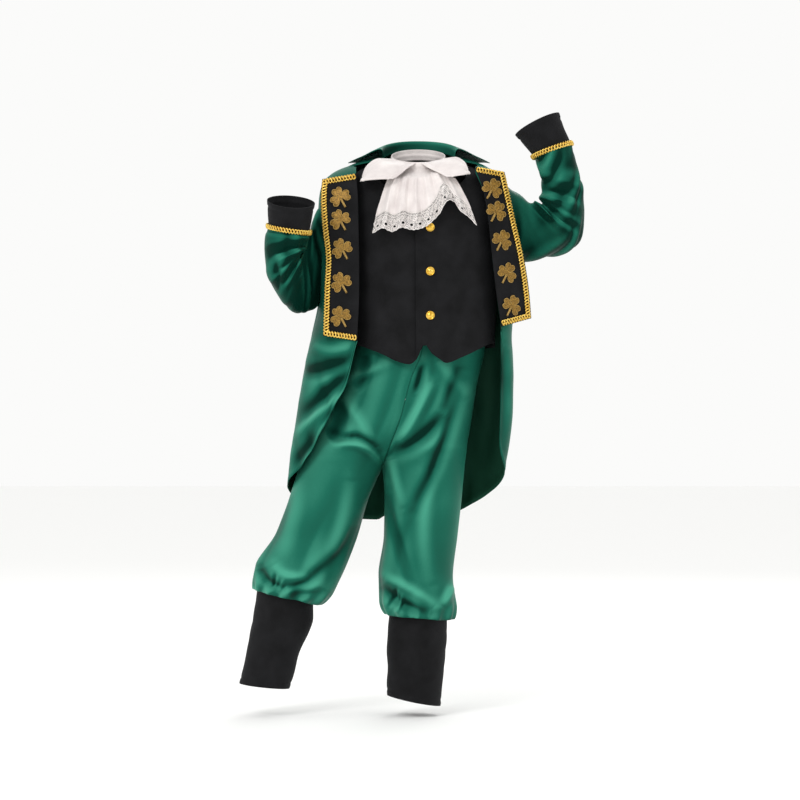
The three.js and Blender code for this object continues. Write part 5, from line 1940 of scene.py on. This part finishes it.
def breeches_panel(side: Side, facing: int) -> Surface:
    """The surface of a panel of the breeches.

    Args:
        side: the side.
        facing: 1 at the front and -1 at the back.

    Returns:
        The surface.
    """

    def surface(u: np.ndarray, v: np.ndarray) -> np.ndarray:
        """Places points of the sheet.

        Args:
            u: shares across.
            v: shares down.

        Returns:
            The points.
        """
        row = v * 12
        seam = LEGS[side].at("seam", row)
        angle = facing * u * seam
        rise = smoothstep(row, 9.2, 10.6)
        fade = 1 - 0.85 * smoothstep(row, 10.6, 12)
        gather = GATHER_DEPTH * rise * fade * np.cos(np.radians(angle * GATHER_COUNT))
        fine = np.cos(np.radians(angle * FINE_COUNT + 40 * np.sin(row * 2)))
        fine = FINE_DEPTH * smoothstep(row, 10.2, 11.2) * fine
        points = leg_ring(LEGS[side], side, row, angle, seam, gather + fine)
        # The cloth runs smoothly past the end of the centre seam.
        calm = np.zeros_like(points)
        for step in CROTCH_STEPS:
            near = np.clip(row + step, 0, 12)
            seam_there = LEGS[side].at("seam", near)
            ring = leg_ring(LEGS[side], side, near, facing * u * seam_there, seam_there, 0 * u)
            calm += ring / len(CROTCH_STEPS)
        share = smoothstep(row, 3.6, 5.0) * (1 - smoothstep(row, 7.0, 8.4)) * (1 - u**8)
        points = mix(points, calm, share[..., None])
        points[..., 0] += side.value * 0.2 * u
        return points

    return surface


def leg_tube(side: Side) -> Surface:
    """The surface of a leg tube, with the soft wrinkles of a stretched knit.

    Args:
        side: the side.

    Returns:
        The surface.
    """

    def surface(u: np.ndarray, v: np.ndarray) -> np.ndarray:
        """Places points of the sheet.

        Args:
            u: shares across.
            v: shares down.

        Returns:
            The points.
        """
        angle = np.where(u < 0.5, u * 360, u * 360 - 360)
        wrinkle = WRINKLE_DEPTH * np.sin(v * 17 + 1.3 * np.sin(u * math.tau + 1))
        wrinkle = wrinkle * np.sin(u * math.tau * 1.5 + v * 4)
        return leg_ring(LEG_TUBES[side], side, v * 3, angle, np.full_like(u, 180.0), wrinkle * v * (2 - v))

    return surface


def waistband_point(u: np.ndarray, v: np.ndarray) -> np.ndarray:
    """The waistband, with the fine gathers of its elastic.

    Args:
        u: shares round the waist.
        v: shares down.

    Returns:
        The points.
    """
    turn = u * math.tau
    gather = BAND_GATHER * np.sin(turn * BAND_GATHERS)
    y = np.sin(turn) * (np.where(np.sin(turn) < 0, BAND_FRONT, BAND_BACK) + gather)
    x = BAND_MIDDLE + (BAND_HALF + gather) * np.cos(turn)
    return np.stack([x, y, BAND_TOP - BAND_TALL * v], -1)


@dataclass
class Breeches:
    """The knee breeches and the black tubes that cover the lower legs."""

    fold_spacing: float = 9.0
    front_fold: float = 1.1
    back_fold: float = 1.0
    folds_from: float = -235.0
    ripple: tuple[float, float] = (24.0, 0.5)
    tube_ripple: tuple[float, float] = (26.0, 0.9)

    def build(self) -> None:
        """Makes the four panels, the waistband and the leg tubes."""
        for side in Side:
            turned = side is Side.RIGHT
            for facing, face in ((1, "front"), (-1, "back")):
                flipped = turned if facing == 1 else not turned
                creases = LEG_CREASES if facing == 1 else LEG_BACK_CREASES
                depth = self.front_fold if facing == 1 else self.back_fold
                Sheet(f"breeches_{face}_{side.label}_cloth", [f"breeches_{face}_{side.label}"],
                      breeches_panel(side, facing), 90, 190, VELOUR, VELOUR_BACK, flip=flipped,
                      creases=creases, ripple=self.ripple, folds=(LEG_RUN[side], self.fold_spacing, depth),
                      folds_below=self.folds_from).build()
            Sheet(f"leg_tube_{side.label}_knit", [f"leg_tube_{side.label}"], leg_tube(side), 96, 70, BLACK,
                  ringed=True, flip=turned, ripple=self.tube_ripple, hem=("bottom",),
                  held="stretched").build()
        Sheet("waistband_cloth", ["waistband"], waistband_point, 360, 10, VELOUR, ringed=True, flip=True,
              held="gathered").build()


# Floor, lights and camera

@dataclass(frozen=True)
class Studio:
    """A pale floor, soft lights and a camera at the angle of the photograph."""

    floor_z: float = -0.797
    floor_size: float = 12.0
    lens: float = 135.0
    view_from: tuple[float, float, float] = (-0.0195, -4.5, -0.3225)
    view_end: float = 30.0
    aim: tuple[float, float, float] = (0.0, 0.0, -0.3)
    key_watts: float = 40.0
    fill_watts: float = 10.0
    rim_watts: float = 16.0
    floor_rough: float = 0.9
    world_strength: float = 1.0
    pale: str = "#fbfbfa"

    def build(self) -> None:
        """Makes the floor, the world, the lights and the camera."""
        mesh = bmesh.new()
        bmesh.ops.create_grid(mesh, x_segments=1, y_segments=1, size=self.floor_size)
        bmesh.ops.translate(mesh, verts=mesh.verts, vec=(0, 0, self.floor_z))
        data = bpy.data.meshes.new("floor")
        mesh.to_mesh(data)
        mesh.free()
        floor = bpy.data.objects.new("floor", data)
        bpy.context.scene.collection.objects.link(floor)
        material = bpy.data.materials.new("pale_floor")
        material.use_nodes = True
        shader = material.node_tree.nodes["Principled BSDF"]
        shader.inputs["Base Color"].default_value = linear(self.pale)
        shader.inputs["Roughness"].default_value = self.floor_rough
        data.materials.append(material)
        world = bpy.data.worlds.new("studio")
        world.use_nodes = True
        background = world.node_tree.nodes["Background"]
        background.inputs["Color"].default_value = linear(self.pale)
        background.inputs["Strength"].default_value = self.world_strength
        bpy.context.scene.world = world
        bpy.context.scene.view_settings.view_transform = "Standard"
        self.light("key", (-1.4, -2.6, 1.7), 1.0, self.key_watts)
        self.light("fill", (2.4, -2.2, 0.5), 1.8, self.fill_watts)
        self.light("rim", (0.6, 2.4, 1.4), 1.4, self.rim_watts)
        camera = bpy.data.cameras.new("camera")
        camera.lens = self.lens
        camera.clip_end = self.view_end
        view = bpy.data.objects.new("camera", camera)
        view.location = self.view_from
        view.rotation_euler = (math.pi / 2, 0, 0)
        bpy.context.scene.collection.objects.link(view)
        bpy.context.scene.camera = view

    def light(self, name: str, place: tuple[float, float, float], size: float, power: float) -> None:
        """Makes one soft square light that points at the middle of the costume.

        Args:
            name: its name.
            place: where it stands, in metres.
            size: its width in metres.
            power: its watts.
        """
        data = bpy.data.lights.new(name, "AREA")
        data.size = size
        data.energy = power
        lamp = bpy.data.objects.new(name, data)
        lamp.location = place
        aim = Vector(self.aim) - Vector(place)
        lamp.rotation_euler = aim.to_track_quat("-Z", "Y").to_euler()
        bpy.context.scene.collection.objects.link(lamp)


def main() -> None:
    """Builds the costume piece by piece, then the studio round it."""
    logging.basicConfig(level=logging.INFO, format="%(message)s")
    for part in (Tailcoat(), Lapels(), Waistcoat(), Neckwear(), Breeches(), Studio()):
        part.build()
        LOG.info("%s built", type(part).__name__)


if __name__ == "__main__":
    main()
